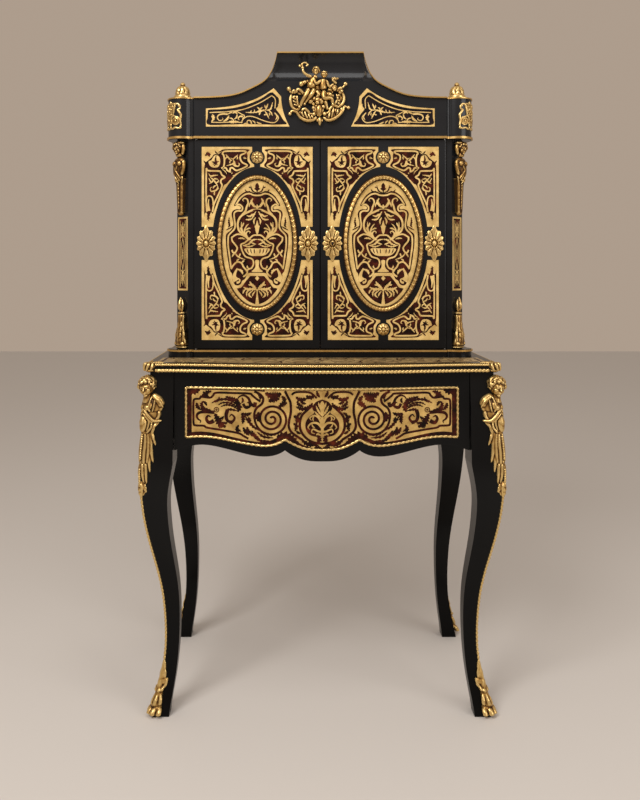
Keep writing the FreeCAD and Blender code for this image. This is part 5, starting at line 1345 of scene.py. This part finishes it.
def young_head(centre, size, look, nod):
    """A young head with a fringe, waved locks and curls at the sides and nape, nodding forward."""
    thick = 0.2 * size
    shapes = calm_face(centre, size, look)
    for turns, low in HAIR_LOCKS:
        shapes += locks(centre, size, turns, thick, low, look)
    rings = [(high, look + first, look + last, count) for high, first, last, count in HAIR_CURLS]
    shapes += curls(centre, np.array((0.80, 0.88, 0.96)) * size, rings, 0.85 * thick)
    return bowed(shapes, np.asarray(centre, float), nod)


# Knee figure, drawn on the leg's front face in photograph units: millimetres a unit, top and left edge
KNEE_UNIT, KNEE_TOP_Z, KNEE_LEFT = 0.2176, 790.8, 420.2
KNEE_RODS = [
    ((6.0, 8.0, 7.0), (262, 440, 3), (328, 488, 4), (366, 556, 3)),
    ((1.8, 2.2, 1.6), (285, 455, 9), (345, 505, 11), (378, 565, 7)),
    ((1.8, 2.0, 1.8), (262, 455, 8), (232, 560, 10), (252, 606, 9)),
    ((1.6, 1.8, 1.6), (296, 480, 9), (282, 560, 9.5), (268, 606, 9)),
    ((3.0, 3.2, 3.4, 2.2), (182, 575, 6), (236, 646, 9), (288, 690, 7), (364, 690, 3)),
    ((2.0, 2.4, 2.0), (176, 612, 6), (226, 668, 9), (276, 712, 7)),
    ((3.2, 3.6, 3.0), (336, 596, 4), (330, 648, 4), (300, 690, 5)),
    ((7.0, 9.0, 6.5), (192, 640, 1), (184, 704, 2), (196, 772, 1)),
    ((2.0, 2.2, 1.8), (216, 640, 7), (238, 704, 8), (216, 792, 6)),
    ((2.2, 2.6, 2.2), (262, 712, 6), (258, 756, 6), (214, 812, 6)),
    ((3.5, 4.6, 4.6, 3.4), (202, 800, 2), (206, 900, 3), (196, 1000, 3), (190, 1118, 2)),
    ((3.4, 4.4, 4.4, 3.0), (226, 790, 2), (234, 900, 3), (230, 1010, 3), (222, 1110, 2)),
    ((3.4, 4.2, 4.2, 1.8), (248, 780, 2), (254, 890, 2), (262, 1000, 2), (282, 1098, 1)),
    ((2.8, 3.6, 1.6), (244, 1000, 2), (242, 1100, 2), (250, 1194, 1)),
    ((2.6, 3.2, 3.0), (178, 822, 1), (180, 950, 1), (170, 1070, 1)),
    ((3.2, 3.8, 1.8), (205, 1095, 2), (210, 1200, 2), (218, 1300, 1)),
    ((3.0, 3.6, 1.6), (176, 1100, 2), (180, 1200, 3), (192, 1296, 2)),
    ((3.0, 3.6, 1.6), (165, 1300, 2), (172, 1350, 3), (170, 1440, 1))]
KNEE_BALLS = [
    ((286, 540, 2.5), (16, 6.5, 18)), ((268, 640, 2), (14, 6, 15)), ((240, 740, 1), (13, 5, 13)),
    ((322, 630, 1.5), (7, 4.5, 10)), ((330, 560, 1.5), (9, 5, 11)), ((190, 706, 3), (6, 6, 13)),
    ((212, 880, 0), (9, 3.4, 22)), ((212, 1010, 0), (9, 3.2, 20)), ((188, 1160, 0), (8, 3, 20)),
    ((176, 1360, 0), (6, 3, 14))]
KNEE_LEAVES = [
    (9, (336, 702, 2), (284, 748, 4), (266, 812, 4), (284, 872, 4), (304, 932, 1)),
    (22, (226, 760, 0), (222, 880, 2), (216, 1010, 2), (216, 1150, 0)),
    (16, (182, 1060, 0), (188, 1170, 2), (212, 1304, 0)),
    (13, (168, 1280, 0), (188, 1340, 2), (212, 1392, 0)),
    (10, (150, 1290, 0), (156, 1380, 2), (166, 1450, 0))]


def on_knee(rows):
    """Points drawn on the leg's front face as (across, down, lift), turned to (sideways, outward, height)."""
    u, v, lift = np.asarray(rows, float).T
    height = KNEE_TOP_Z - KNEE_UNIT * v
    inward = KNEE_UNIT * u - KNEE_LEFT + np.interp(height, *LEG_REACH.T)
    return np.stack([HALF_ROOT * (lift + inward), HALF_ROOT * (lift - inward), height], 1)


def knee_bust():
    """A young half figure on the knee: bowed head, waved hair, sleeves, sash and leafy drapery below."""
    shapes = young_head((0, 4.0, 714), 19.9, 26, 22)
    shapes += [rod([(0, 3, 702), (0, 0, 690), (0, -3, 678)], (9, 8.5, 12)), ball((0, -2, 672), (16, 8.5, 15)),
               rod([(0, -3, 668), (0, -4, 645), (0, -3, 606)], (12, 9.5, 10), 0.8),
               ball((0, 2.5, 632), (10, 6.8, 17))]
    sides = [ball((6.2, 4.0, 668), (6.6, 4.2, 6.4))]
    sides += [ball(on_knee([middle])[0], radii, (1, 1, 0)) for middle, radii in KNEE_BALLS]
    for top, run in ((614, 56), (540, 38)):
        line = np.array([(0, 2.4, z) for z in (top, top - run / 2, top - run)])
        shapes.append(beading(line, 3.0, 5.0, DRAWN_OUT, 0.45))
    sides += [rod(on_knee(points), radii) for radii, *points in KNEE_RODS]
    face_out = (HALF_ROOT, HALF_ROOT, 0)
    sides += [leaf(on_knee(points), width, 4, 1.8, 2.6, face_out) for width, *points in KNEE_LEAVES]
    bent = [on_leg(shape) for shape in shapes + both_sides(sides)]
    twin = "right_bust_casting", ["right_knee_bust"]
    cast("left_bust_casting", bent, "desk", ["left_knee_bust"], 0.8, 2, twin)


def paw_shoe():
    """A lion paw: four rounded toes under four long knuckles, a narrow waist and a leaf up the arris."""
    shapes = [ball((0, -5, 17), (15, 11, 14)), rod([(0, -4, 18), (0, -3, 48), (0, -1, 80)], (13, 8.5, 7)),
              leaf([(0, -3, 46), (0, -4, 70), (0, 1, 112)], 24, 5, 8, 3)]
    toes = [rod([(4, -1, 19), (5, 5, 14.5), (5.2, 8, 6.6)], (5, 5.8, 6.4)),
            rod([(11, -7, 19), (15, -3, 13.5), (16, -1.5, 6.2)], (5, 5.6, 6))]
    knuckles = [rod([(2.6, 2, 47), (3.6, 4.5, 35), (4.2, 5, 25)], (2.4, 4.4, 4)),
                rod([(6.5, -2, 47), (10, -3, 35), (11.8, -4.5, 25)], (2.4, 4.4, 4))]
    frills = [ball((4.5, 3.5, 54), (4.6, 3.4, 4.2)), ball((9, -1, 56), (4.2, 3.4, 4.4)),
              leaf([(6, 0, 54), (11, -5, 65), (12, -8, 78)], 9, 3, 1.5, 2.6, (0.6, 0.8, 0))]
    shapes = [on_leg(shape) for shape in shapes + both_sides(toes + knuckles + frills)]
    cast("front_left_paw", shapes, "desk", ["front_paw_shoes"], 1.0, 2,
         ("front_right_paw", ["front_paw_shoes"]))
    back = [(points * (1, -1, 1) + (0, 2 * LEG_MID_Y, 0), turned_over(faces)) for points, faces in shapes]
    cast("back_left_paw", back, "desk", ["back_paw_shoes"], 1.0, 2, ("back_right_paw", ["back_paw_shoes"]))


def post_figure():
    """A draped half figure ending in a plain tapering pillar with a rounded foot."""
    shapes = young_head((-1, 13, 1241), 13.2, 18, 14)
    shapes += [rod([(0, 11, 1232), (0, 10, 1220)], (7, 8)), ball((0, 9, 1211), (17, 9, 9)),
               ball((0, 11, 1195), (16.5, 8, 19)),
               ball((0, 9, 1252.5), (15, 11, 5.4)),
               rod([(0, 10, 1208), (0, 10, 1190), (0, 8, 1166)], (15.5, 14, 11.5), 0.75)]
    turn = np.linspace(0, 2 * math.pi, 24, endpoint=False)[None, :]
    pillar = smooth_path([(0, 5, 1172), (0, 5, 1146), (0, 5, 1118), (0, 5, 1093)])
    taper = np.linspace(11.5, 8.2, len(pillar))[:, None]
    square = 1 / (np.abs(np.cos(turn)) ** 5 + np.abs(np.sin(turn)) ** 5) ** 0.2
    shapes += [tube(pillar, taper * square, flat=0.72, around=turn.size),
               ball((0, 5, 1093), (8.2, 6.2, 5.6)),
               rod([(0, 13, 1160), (0, 12.4, 1130), (0, 11.4, 1100)], (1.8, 1.7, 1.5)),
               rod([(-14, 13, 1210), (-2, 20, 1192), (11, 15, 1170)], (2.2, 2.6, 2.2)),
               rod([(11, 15, 1213), (3, 20, 1195), (-8, 17, 1176)], (2.0, 2.4, 2.0)),
               rod([(-13, 11, 1175), (0, 18, 1165), (13, 11, 1175)], (2.2, 2.6, 2.2)),
               rod([(-12, 14, 1200), (0, 19.4, 1183), (9, 16, 1164)], (1.4, 1.8, 1.4)),
               rod([(-13, 13, 1190), (-3, 18.4, 1174), (6, 16, 1158)], (1.4, 1.8, 1.4))]
    shapes += [ball((0, 13.4 - n * 0.28, 1156 - 8 * n), (2.6, 1.6, 2.6)) for n in range(7)]
    sides = [ball((8, 16.5, 1205), (6.6, 5.4, 6.6)),
             rod([(14, 9, 1214), (16, 10.5, 1196), (12, 13, 1178)], (4.8, 4.4, 3.6)),
             rod([(12, 8, 1250), (13, 8.5, 1238), (10, 9, 1225)], (4.0, 4.4, 3.0)),
             rod([(8.6, 9.6, 1162), (7.6, 9.2, 1130), (6.2, 8.6, 1100)], (1.7, 1.6, 1.4)),
             leaf([(6, 10, 1186), (10, 12, 1172), (7, 11, 1152)], 8, 3, 1, 2)]
    turned = [on_cant(shape) for shape in shapes + both_sides(sides)]
    # The last argument, 0.09, darkens the whole figure as painted shade
    cast("left_post_figure", turned, "desk", ["post_figures"], 0.7, 1,
         ("right_post_figure", ["post_figures"]), 0.09)


def post_leaf():
    """A small console at the post's foot: a leafy bud on a collar, a waisted stem and a scrolled base."""
    shapes = [ball((0, 4, 881), (7.2, 6.2, 14)),
              leaf([(0, 7, 866), (0, 11, 881), (0, 6, 900)], 9, 3, 1.4, 2.2),
              ball((0, 4, 863), (9.5, 7.5, 3.6)),
              rod([(0, 3, 862), (0, 4, 842), (0, 4, 818)], (8.5, 9, 11), 0.8),
              rod([(0, 4, 822), (0, 5, 802), (0, 4, 786)], (10.5, 14, 17), 0.66),
              ball((0, 4, 785), (18, 10, 4.2)),
              leaf([(0, 8, 856), (0, 11, 830), (0, 13, 806), (0, 12, 786)], 18, 6, 2.4, 2.4)]
    sides = [leaf([(3, 6, 866), (7.5, 7, 880), (4, 5, 895)], 6, 2, 1, 2),
             rod([(9, 5, 860), (8, 6, 836), (12, 7, 812), (17, 6, 792)], (2.0, 2.4, 2.6, 3.0)),
             ball((11, 10, 793), (5.6, 4.2, 5.6)), ball((11, 13.4, 793), (2.4, 1.6, 2.4)),
             leaf([(8, 8, 832), (13, 9, 814), (13, 11, 796)], 8, 3, 1.2, 2.2)]
    turned = [on_cant(shape) for shape in shapes + both_sides(sides)]
    twin = "right_post_leaf", ["post_foot_leaves"]
    cast("left_post_leaf", turned, "desk", ["post_foot_leaves"], 0.7, 1, twin, 0.03)


# Crest group, drawn in photograph units: millimetres a unit, left and top edge
CREST_UNIT, CREST_LEFT, CREST_TOP_Z = 0.1444, 114.1, 1482.6
CREST_RODS = [
    # the near child: body, neck, raised arm with a ring, crossing arm, legs and a bundle at the waist
    ((7.5, 8.1, 7.7), (694, 610, 10), (664, 670, 11), (652, 738, 11)),
    ((4.2, 5.5), (722, 556, 11), (700, 604, 10)),
    ((3.9, 3.4, 3.1, 2.5), (658, 588, 11), (582, 558, 12), (528, 514, 12), (512, 456, 12)),
    ((1.9, 2.0, 2.0, 2.0, 1.9), (506, 428, 11), (504, 380, 11), (548, 362, 11), (592, 392, 11),
     (560, 424, 11)),
    ((1.6, 1.8), (468, 412, 11), (502, 398, 11)),
    ((4.6, 4.0, 3.4), (666, 590, 13), (722, 692, 16), (808, 640, 15)),
    ((5.8, 5.1, 3.8, 2.7), (616, 762, 12), (566, 870, 16), (506, 970, 13), (472, 1048, 9)),
    ((5.6, 4.8, 3.7, 2.7), (692, 772, 13), (652, 865, 18), (596, 930, 14), (550, 990, 10)),
    ((4.2, 5.0), (575, 652, 9), (505, 686, 9)),
    # the far child: back, reaching arm and two legs
    ((6.8, 7.4, 7.5), (836, 616, 11), (830, 700, 12), (842, 790, 12)),
    ((3.5, 3.1, 2.6), (878, 630, 11), (930, 736, 13), (1000, 692, 11)),
    ((6.0, 5.4, 4.2, 3.1), (842, 800, 13), (852, 918, 17), (956, 926, 14), (986, 1008, 9)),
    ((4.2, 3.4, 2.5), (868, 950, 10), (886, 1040, 10), (908, 1096, 9)),
    # the third child's arm, wing and flower
    ((3.4, 3.0, 2.6), (1046, 690, 8), (1000, 650, 9), (975, 622, 9)),
    ((4.0, 4.4, 3.4), (1036, 800, 8), (1096, 764, 8), (1136, 754, 8)),
    ((2.2, 2.0), (1134, 756, 8), (1180, 696, 8)),
    # crescents
    ((2.7, 3.3, 3.4, 3.3, 2.8), (336, 850, 6), (318, 940, 6), (345, 1040, 6), (410, 1096, 7),
     (474, 1062, 7)),
    ((2.2, 2.5), (296, 772, 7), (328, 832, 6)),
    ((3.0, 3.6, 3.0), (340, 842, 6), (374, 796, 7), (396, 842, 7)),
    ((3.2, 4.0, 3.6, 3.0), (408, 832, 7), (440, 778, 8), (495, 808, 8), (532, 852, 7)),
    ((2.4, 2.6, 2.4), (424, 866, 7), (428, 960, 7), (440, 1044, 7)),
    ((1.6, 1.9), (348, 900, 8), (424, 940, 7)), ((1.6, 1.9), (354, 952, 8), (426, 986, 7)),
    ((1.6, 1.9), (372, 1006, 8), (428, 1030, 7)),
    ((2.5, 3.3, 3.4, 3.1, 2.7), (1120, 800, 6), (1158, 882, 6), (1150, 972, 6), (1100, 1030, 6),
     (1036, 1062, 7)),
    ((1.9, 2.2, 1.9), (1040, 840, 7), (1060, 930, 7), (1016, 1014, 7)),
    # acanthus bands with their ribs, left then right
    ((2.5, 2.8, 3.1, 3.6, 3.9, 3.4, 2.7), (318, 1162, 6), (345, 1112, 6), (415, 1130, 7), (480, 1214, 7),
     (580, 1264, 8), (680, 1252, 8), (732, 1200, 7)),
    ((2.8, 3.2, 3.0, 2.8, 2.6), (490, 1108, 7), (545, 1080, 8), (595, 1116, 8), (622, 1160, 8),
     (690, 1166, 8)),
    ((1.8, 2.4, 1.6), (545, 1110, 8), (562, 1180, 10), (600, 1248, 8)),
    ((1.8, 2.2, 1.6), (602, 1160, 9), (622, 1210, 10), (642, 1252, 8)),
    ((1.8, 2.2, 1.6), (652, 1180, 9), (666, 1214, 10), (672, 1248, 8)),
    ((1.8, 2.0, 1.6), (498, 1120, 7), (510, 1170, 8), (540, 1230, 7)),
    ((2.5, 2.8, 3.1, 3.6, 3.9, 3.4, 2.7), (1224, 1060, 6), (1168, 1044, 6), (1140, 1110, 7),
     (1076, 1184, 7), (990, 1242, 8), (900, 1258, 8), (834, 1204, 7)),
    ((2.8, 3.2, 3.0, 2.8, 2.6), (1088, 1056, 7), (1000, 1032, 8), (942, 1080, 8), (926, 1130, 8),
     (860, 1160, 8)),
    ((1.8, 2.4, 1.6), (1000, 1060, 8), (985, 1130, 10), (960, 1238, 8)),
    ((1.8, 2.2, 1.6), (942, 1130, 9), (926, 1190, 10), (910, 1248, 8)),
    ((1.8, 2.2, 1.6), (1060, 1080, 8), (1060, 1130, 9), (1040, 1190, 7)),
    ((1.8, 2.0, 1.6), (1110, 1060, 7), (1120, 1092, 8), (1090, 1150, 7)),
    # shield frame, pendant and lap drapery
    ((2.4, 2.6, 2.4), (714, 1040, 8), (722, 1120, 9), (768, 1200, 8)),
    ((2.4, 2.6, 2.4), (828, 1040, 8), (820, 1120, 9), (774, 1200, 8)),
    ((2.6, 2.8, 2.6), (698, 1046, 8), (770, 1022, 10), (842, 1042, 8)),
    ((3.6, 4.6, 1.8), (778, 1212, 8), (780, 1272, 8), (780, 1344, 6)),
    ((4.0, 4.5, 3.5), (720, 800, 12), (762, 860, 13), (722, 922, 12))]
CREST_BALLS = [
    ((512, 446, 12), (3.6, 3.2, 3.8)), ((468, 412, 11), (3.4, 3.0, 3.4)), ((650, 716, 13), (9.5, 7.5, 9.5)),
    ((462, 1054, 10), (3, 3.6, 4)), ((543, 1006, 10), (3, 3.6, 3.8)), ((494, 690, 9), (6, 5, 6)),
    ((850, 545, 10), (7.4, 7.4, 8.2)), ((985, 1016, 10), (3.4, 3.6, 3.4)),
    ((1182, 690, 8), (4.6, 3.6, 4.6)), ((296, 766, 7), (5, 4.4, 5.2)), ((312, 1158, 7), (4, 3.6, 4.2)),
    ((1230, 1060, 7), (4, 3.6, 4.2)), ((688, 1166, 9), (4.2, 4, 4.2)), ((856, 1160, 9), (4.6, 4, 4.6)),
    ((770, 1100, 9), (7.4, 6, 13)), ((682, 1066, 8), (4, 3.6, 4.4)), ((838, 1050, 9), (4.6, 4, 4.6)),
    ((690, 1106, 7), (3, 3, 3)), ((750, 1260, 7), (3.4, 3, 4)), ((810, 1260, 7), (3.4, 3, 4)),
    ((750, 950, 11), (8, 6.5, 8)), ((640, 965, 9), (6.5, 5.5, 6)), ((700, 930, 10), (6.5, 5.5, 6)),
    ((802, 960, 11), (6, 6, 8)), ((745, 986, 13), (5, 4.5, 5)), ((680, 1002, 8), (4, 4, 4)),
    ((762, 846, 9), (8, 6.5, 8)), ((1080, 870, 8), (2.8, 2.4, 2.8)), ((1062, 912, 8), (2.8, 2.4, 2.8)),
    ((1086, 952, 8), (2.8, 2.4, 2.8)), ((1078, 996, 8), (2.8, 2.4, 2.8)), ((930, 850, 6), (8, 4, 6)),
    ((1100, 810, 7), (5, 4, 5)), ((700, 590, 9), (7, 6, 5)), ((760, 740, 7), (9, 5, 8)),
    ((590, 660, 7), (6, 4, 5)), ((580, 1190, 5), (9, 3.4, 9)), ((650, 1210, 5), (7, 3.4, 6)),
    ((480, 1160, 5), (7, 3, 7)), ((960, 1160, 5), (9, 3.4, 10)), ((1050, 1120, 5), (8, 3, 8)),
    ((900, 1210, 5), (7, 3.4, 6)), ((385, 950, 4), (6, 2.6, 13)), ((400, 1040, 4), (6, 2.6, 6)),
    ((1090, 930, 4), (6, 2.6, 13)), ((1050, 1010, 4), (6, 2.6, 6)), ((480, 830, 5), (7, 3, 4))]
CREST_LEAVES = [
    (8, (958, 602, 8), (1010, 612, 10), (1082, 598, 7)), (9, (880, 900, 6), (940, 860, 10), (1006, 880, 7)),
    (8, (905, 800, 8), (950, 780, 10), (985, 830, 8)), (9, (600, 940, 6), (640, 920, 11), (700, 960, 8)),
    (8, (1090, 760, 7), (1120, 800, 10), (1100, 850, 7))]


def on_crest(rows):
    """Points drawn on the cornice's front, as (across, down, out) in photograph units, out in millimetres."""
    u, v, out = np.asarray(rows, float).T
    return np.stack([CREST_UNIT * u - CREST_LEFT, out, CREST_TOP_Z - CREST_UNIT * v], 1)


def crest_group():
    """Three playing children on a scrolled bracket of crescents and acanthus, with a shield and a drop."""
    near, far, small = on_crest([(722, 492, 12), (850, 545, 10), (1010, 766, 11)])
    shapes = young_head(near, 9.0, -8, 12) + young_head(small, 6.6, 8, 5)
    shapes += curls(far, (6.4, 6.4, 7.2), [(0, 0, 320, 8), (40, 20, 340, 6)], 2.4)
    shapes += [ball(on_crest([middle])[0], radii, DRAWN_OUT) for middle, radii in CREST_BALLS]
    shapes += [rod(on_crest(points), radii) for radii, *points in CREST_RODS]
    shapes += [leaf(on_crest(points), width, 3, 1.5, 2.4) for width, *points in CREST_LEAVES]
    set_out = [(points * (1, -1, 1) + (0, FRIEZE_FACE_Y, 0), turned_over(faces)) for points, faces in shapes]
    cast("crest_children", set_out, "desk", ["crest_mount"], 0.7, 1, tone_shift=0.045)


knee_bust()
paw_shoe()
post_figure()
post_leaf()
crest_group()


def corner_clasp():
    """An acanthus leaf rolled over the top's front corner, with a tip running inward along each edge."""
    middle = np.array((-368, -222 + LEG_MID_Y, 0))
    shapes = [ball(middle + (0, 0, 756), (12.5, 12.5, 7.4)), ball(middle + (0, 0, 747.5), (10.5, 10.5, 4))]
    fold = (4, 0, 763), (11, 0, 761), (12.6, 3, 754), (10, 6, 746)
    for turn in np.radians((140, 182, 225, 268, 310)):
        away = np.array((math.cos(turn), math.sin(turn), 0))
        aside = np.cross(away, UPWARD)
        run = [middle + out * away + shift * aside + (0, 0, height) for out, shift, height in fold]
        shapes.append(rod(run, (2.0, 3.0, 2.8, 1.8)))
    for way in ((1, 0.06, 0), (0.06, 1, 0)):
        tip = (4, 763), (16, 764.4), (30, 764)
        run = [middle + distance * np.array(way) + (0, 0, height) for distance, height in tip]
        shapes.append(leaf(run, 9, 4, 1.4, 2.4, UPWARD))
    twin = "right_corner_clasp", ["top_corner_mounts"]
    cast("left_corner_clasp", shapes, "desk", ["top_corner_mounts"], 0.6, 1, twin)


corner_clasp()


FLOOR_TONE = (0.62, 0.57, 0.52, 1)
FLOOR_REACH = 8.0
BACKDROP = (0.42, 0.335, 0.265, 1)
AMBIENT = (0.60, 0.575, 0.55, 1)
# Colour sockets of the mix node
MIX_FIRST, MIX_SECOND, MIX_RESULT = 6, 7, 2
# Lamps as (name, place, aim, size, power)
LAMPS = [
    ("key_lamp", (-1.4, -2.3, 2.9), (0, 0, 1.05), 1.3, 70),
    ("fill_lamp", (2.2, -2.1, 1.7), (0, 0, 0.8), 1.6, 24),
    ("sky_lamp", (0.2, -1.3, 3.3), (0, -0.1, 1.2), 1.2, 16)]


def studio():
    """Pale floor, even light all round, a broad lamp at front left and weaker ones at right and above.

    The backdrop's colour is what is seen, directly or mirrored; the ambient one is what lights.
    """
    floor_finish = Finish("pale_floor", Roughness=0.7)
    floor_finish.shader.inputs["Base Color"].default_value = FLOOR_TONE
    mesh = bpy.data.meshes.new("floor")
    corners = [(FLOOR_REACH * x, FLOOR_REACH * y, 0) for x, y in ((-1, -1), (1, -1), (1, 1), (-1, 1))]
    mesh.from_pydata(corners, [], [(0, 1, 2, 3)])
    mesh.materials.append(floor_finish.material)
    floor = bpy.data.objects.new("floor", mesh)
    bpy.context.collection.objects.link(floor)
    world = bpy.data.worlds.new("studio")
    bpy.context.scene.world = world
    world.use_nodes = True
    nodes, links = world.node_tree.nodes, world.node_tree.links
    path = nodes.new("ShaderNodeLightPath")
    sight = None
    for ray in ("Is Camera Ray", "Is Glossy Ray", "Is Transmission Ray"):
        either = nodes.new("ShaderNodeMath")
        either.operation = "MAXIMUM"
        links.new(path.outputs[ray], either.inputs[0])
        if sight:
            links.new(sight, either.inputs[1])
        sight = either.outputs[0]
    seen = nodes.new("ShaderNodeMix")
    seen.data_type = "RGBA"
    seen.inputs[MIX_FIRST].default_value = AMBIENT
    seen.inputs[MIX_SECOND].default_value = BACKDROP
    links.new(sight, seen.inputs[0])
    links.new(seen.outputs[MIX_RESULT], nodes["Background"].inputs["Color"])
    for name, place, aim, size, power in LAMPS:
        lamp = bpy.data.lights.new(name, "AREA")
        lamp.size = size
        lamp.energy = power
        holder = bpy.data.objects.new(name, lamp)
        holder.location = place
        way = np.subtract(aim, place)
        tilt, heading = math.atan2(math.hypot(way[0], way[1]), -way[2]), math.atan2(-way[0], way[1])
        holder.rotation_euler = (tilt, 0, heading)
        bpy.context.collection.objects.link(holder)


def photo_camera():
    """A level camera a little left of the middle; the shift keeps uprights parallel."""
    focal_px, frame_px, sensor = 817.0, 800.0, 36.0
    middle_px, vanish_px = (320.0, 400.0), (293.0, 273.0)
    data = bpy.data.cameras.new("camera")
    data.sensor_width = sensor
    data.lens = focal_px / frame_px * sensor
    data.shift_x = (middle_px[0] - vanish_px[0]) / frame_px
    data.shift_y = (vanish_px[1] - middle_px[1]) / frame_px
    camera = bpy.data.objects.new("camera", data)
    camera.location = (-0.062, -1.955, 0.955)
    camera.rotation_euler = (math.pi / 2, 0, 0)
    bpy.context.collection.objects.link(camera)
    bpy.context.scene.camera = camera


studio()
photo_camera()
bpy.context.scene.view_settings.view_transform = "Standard"
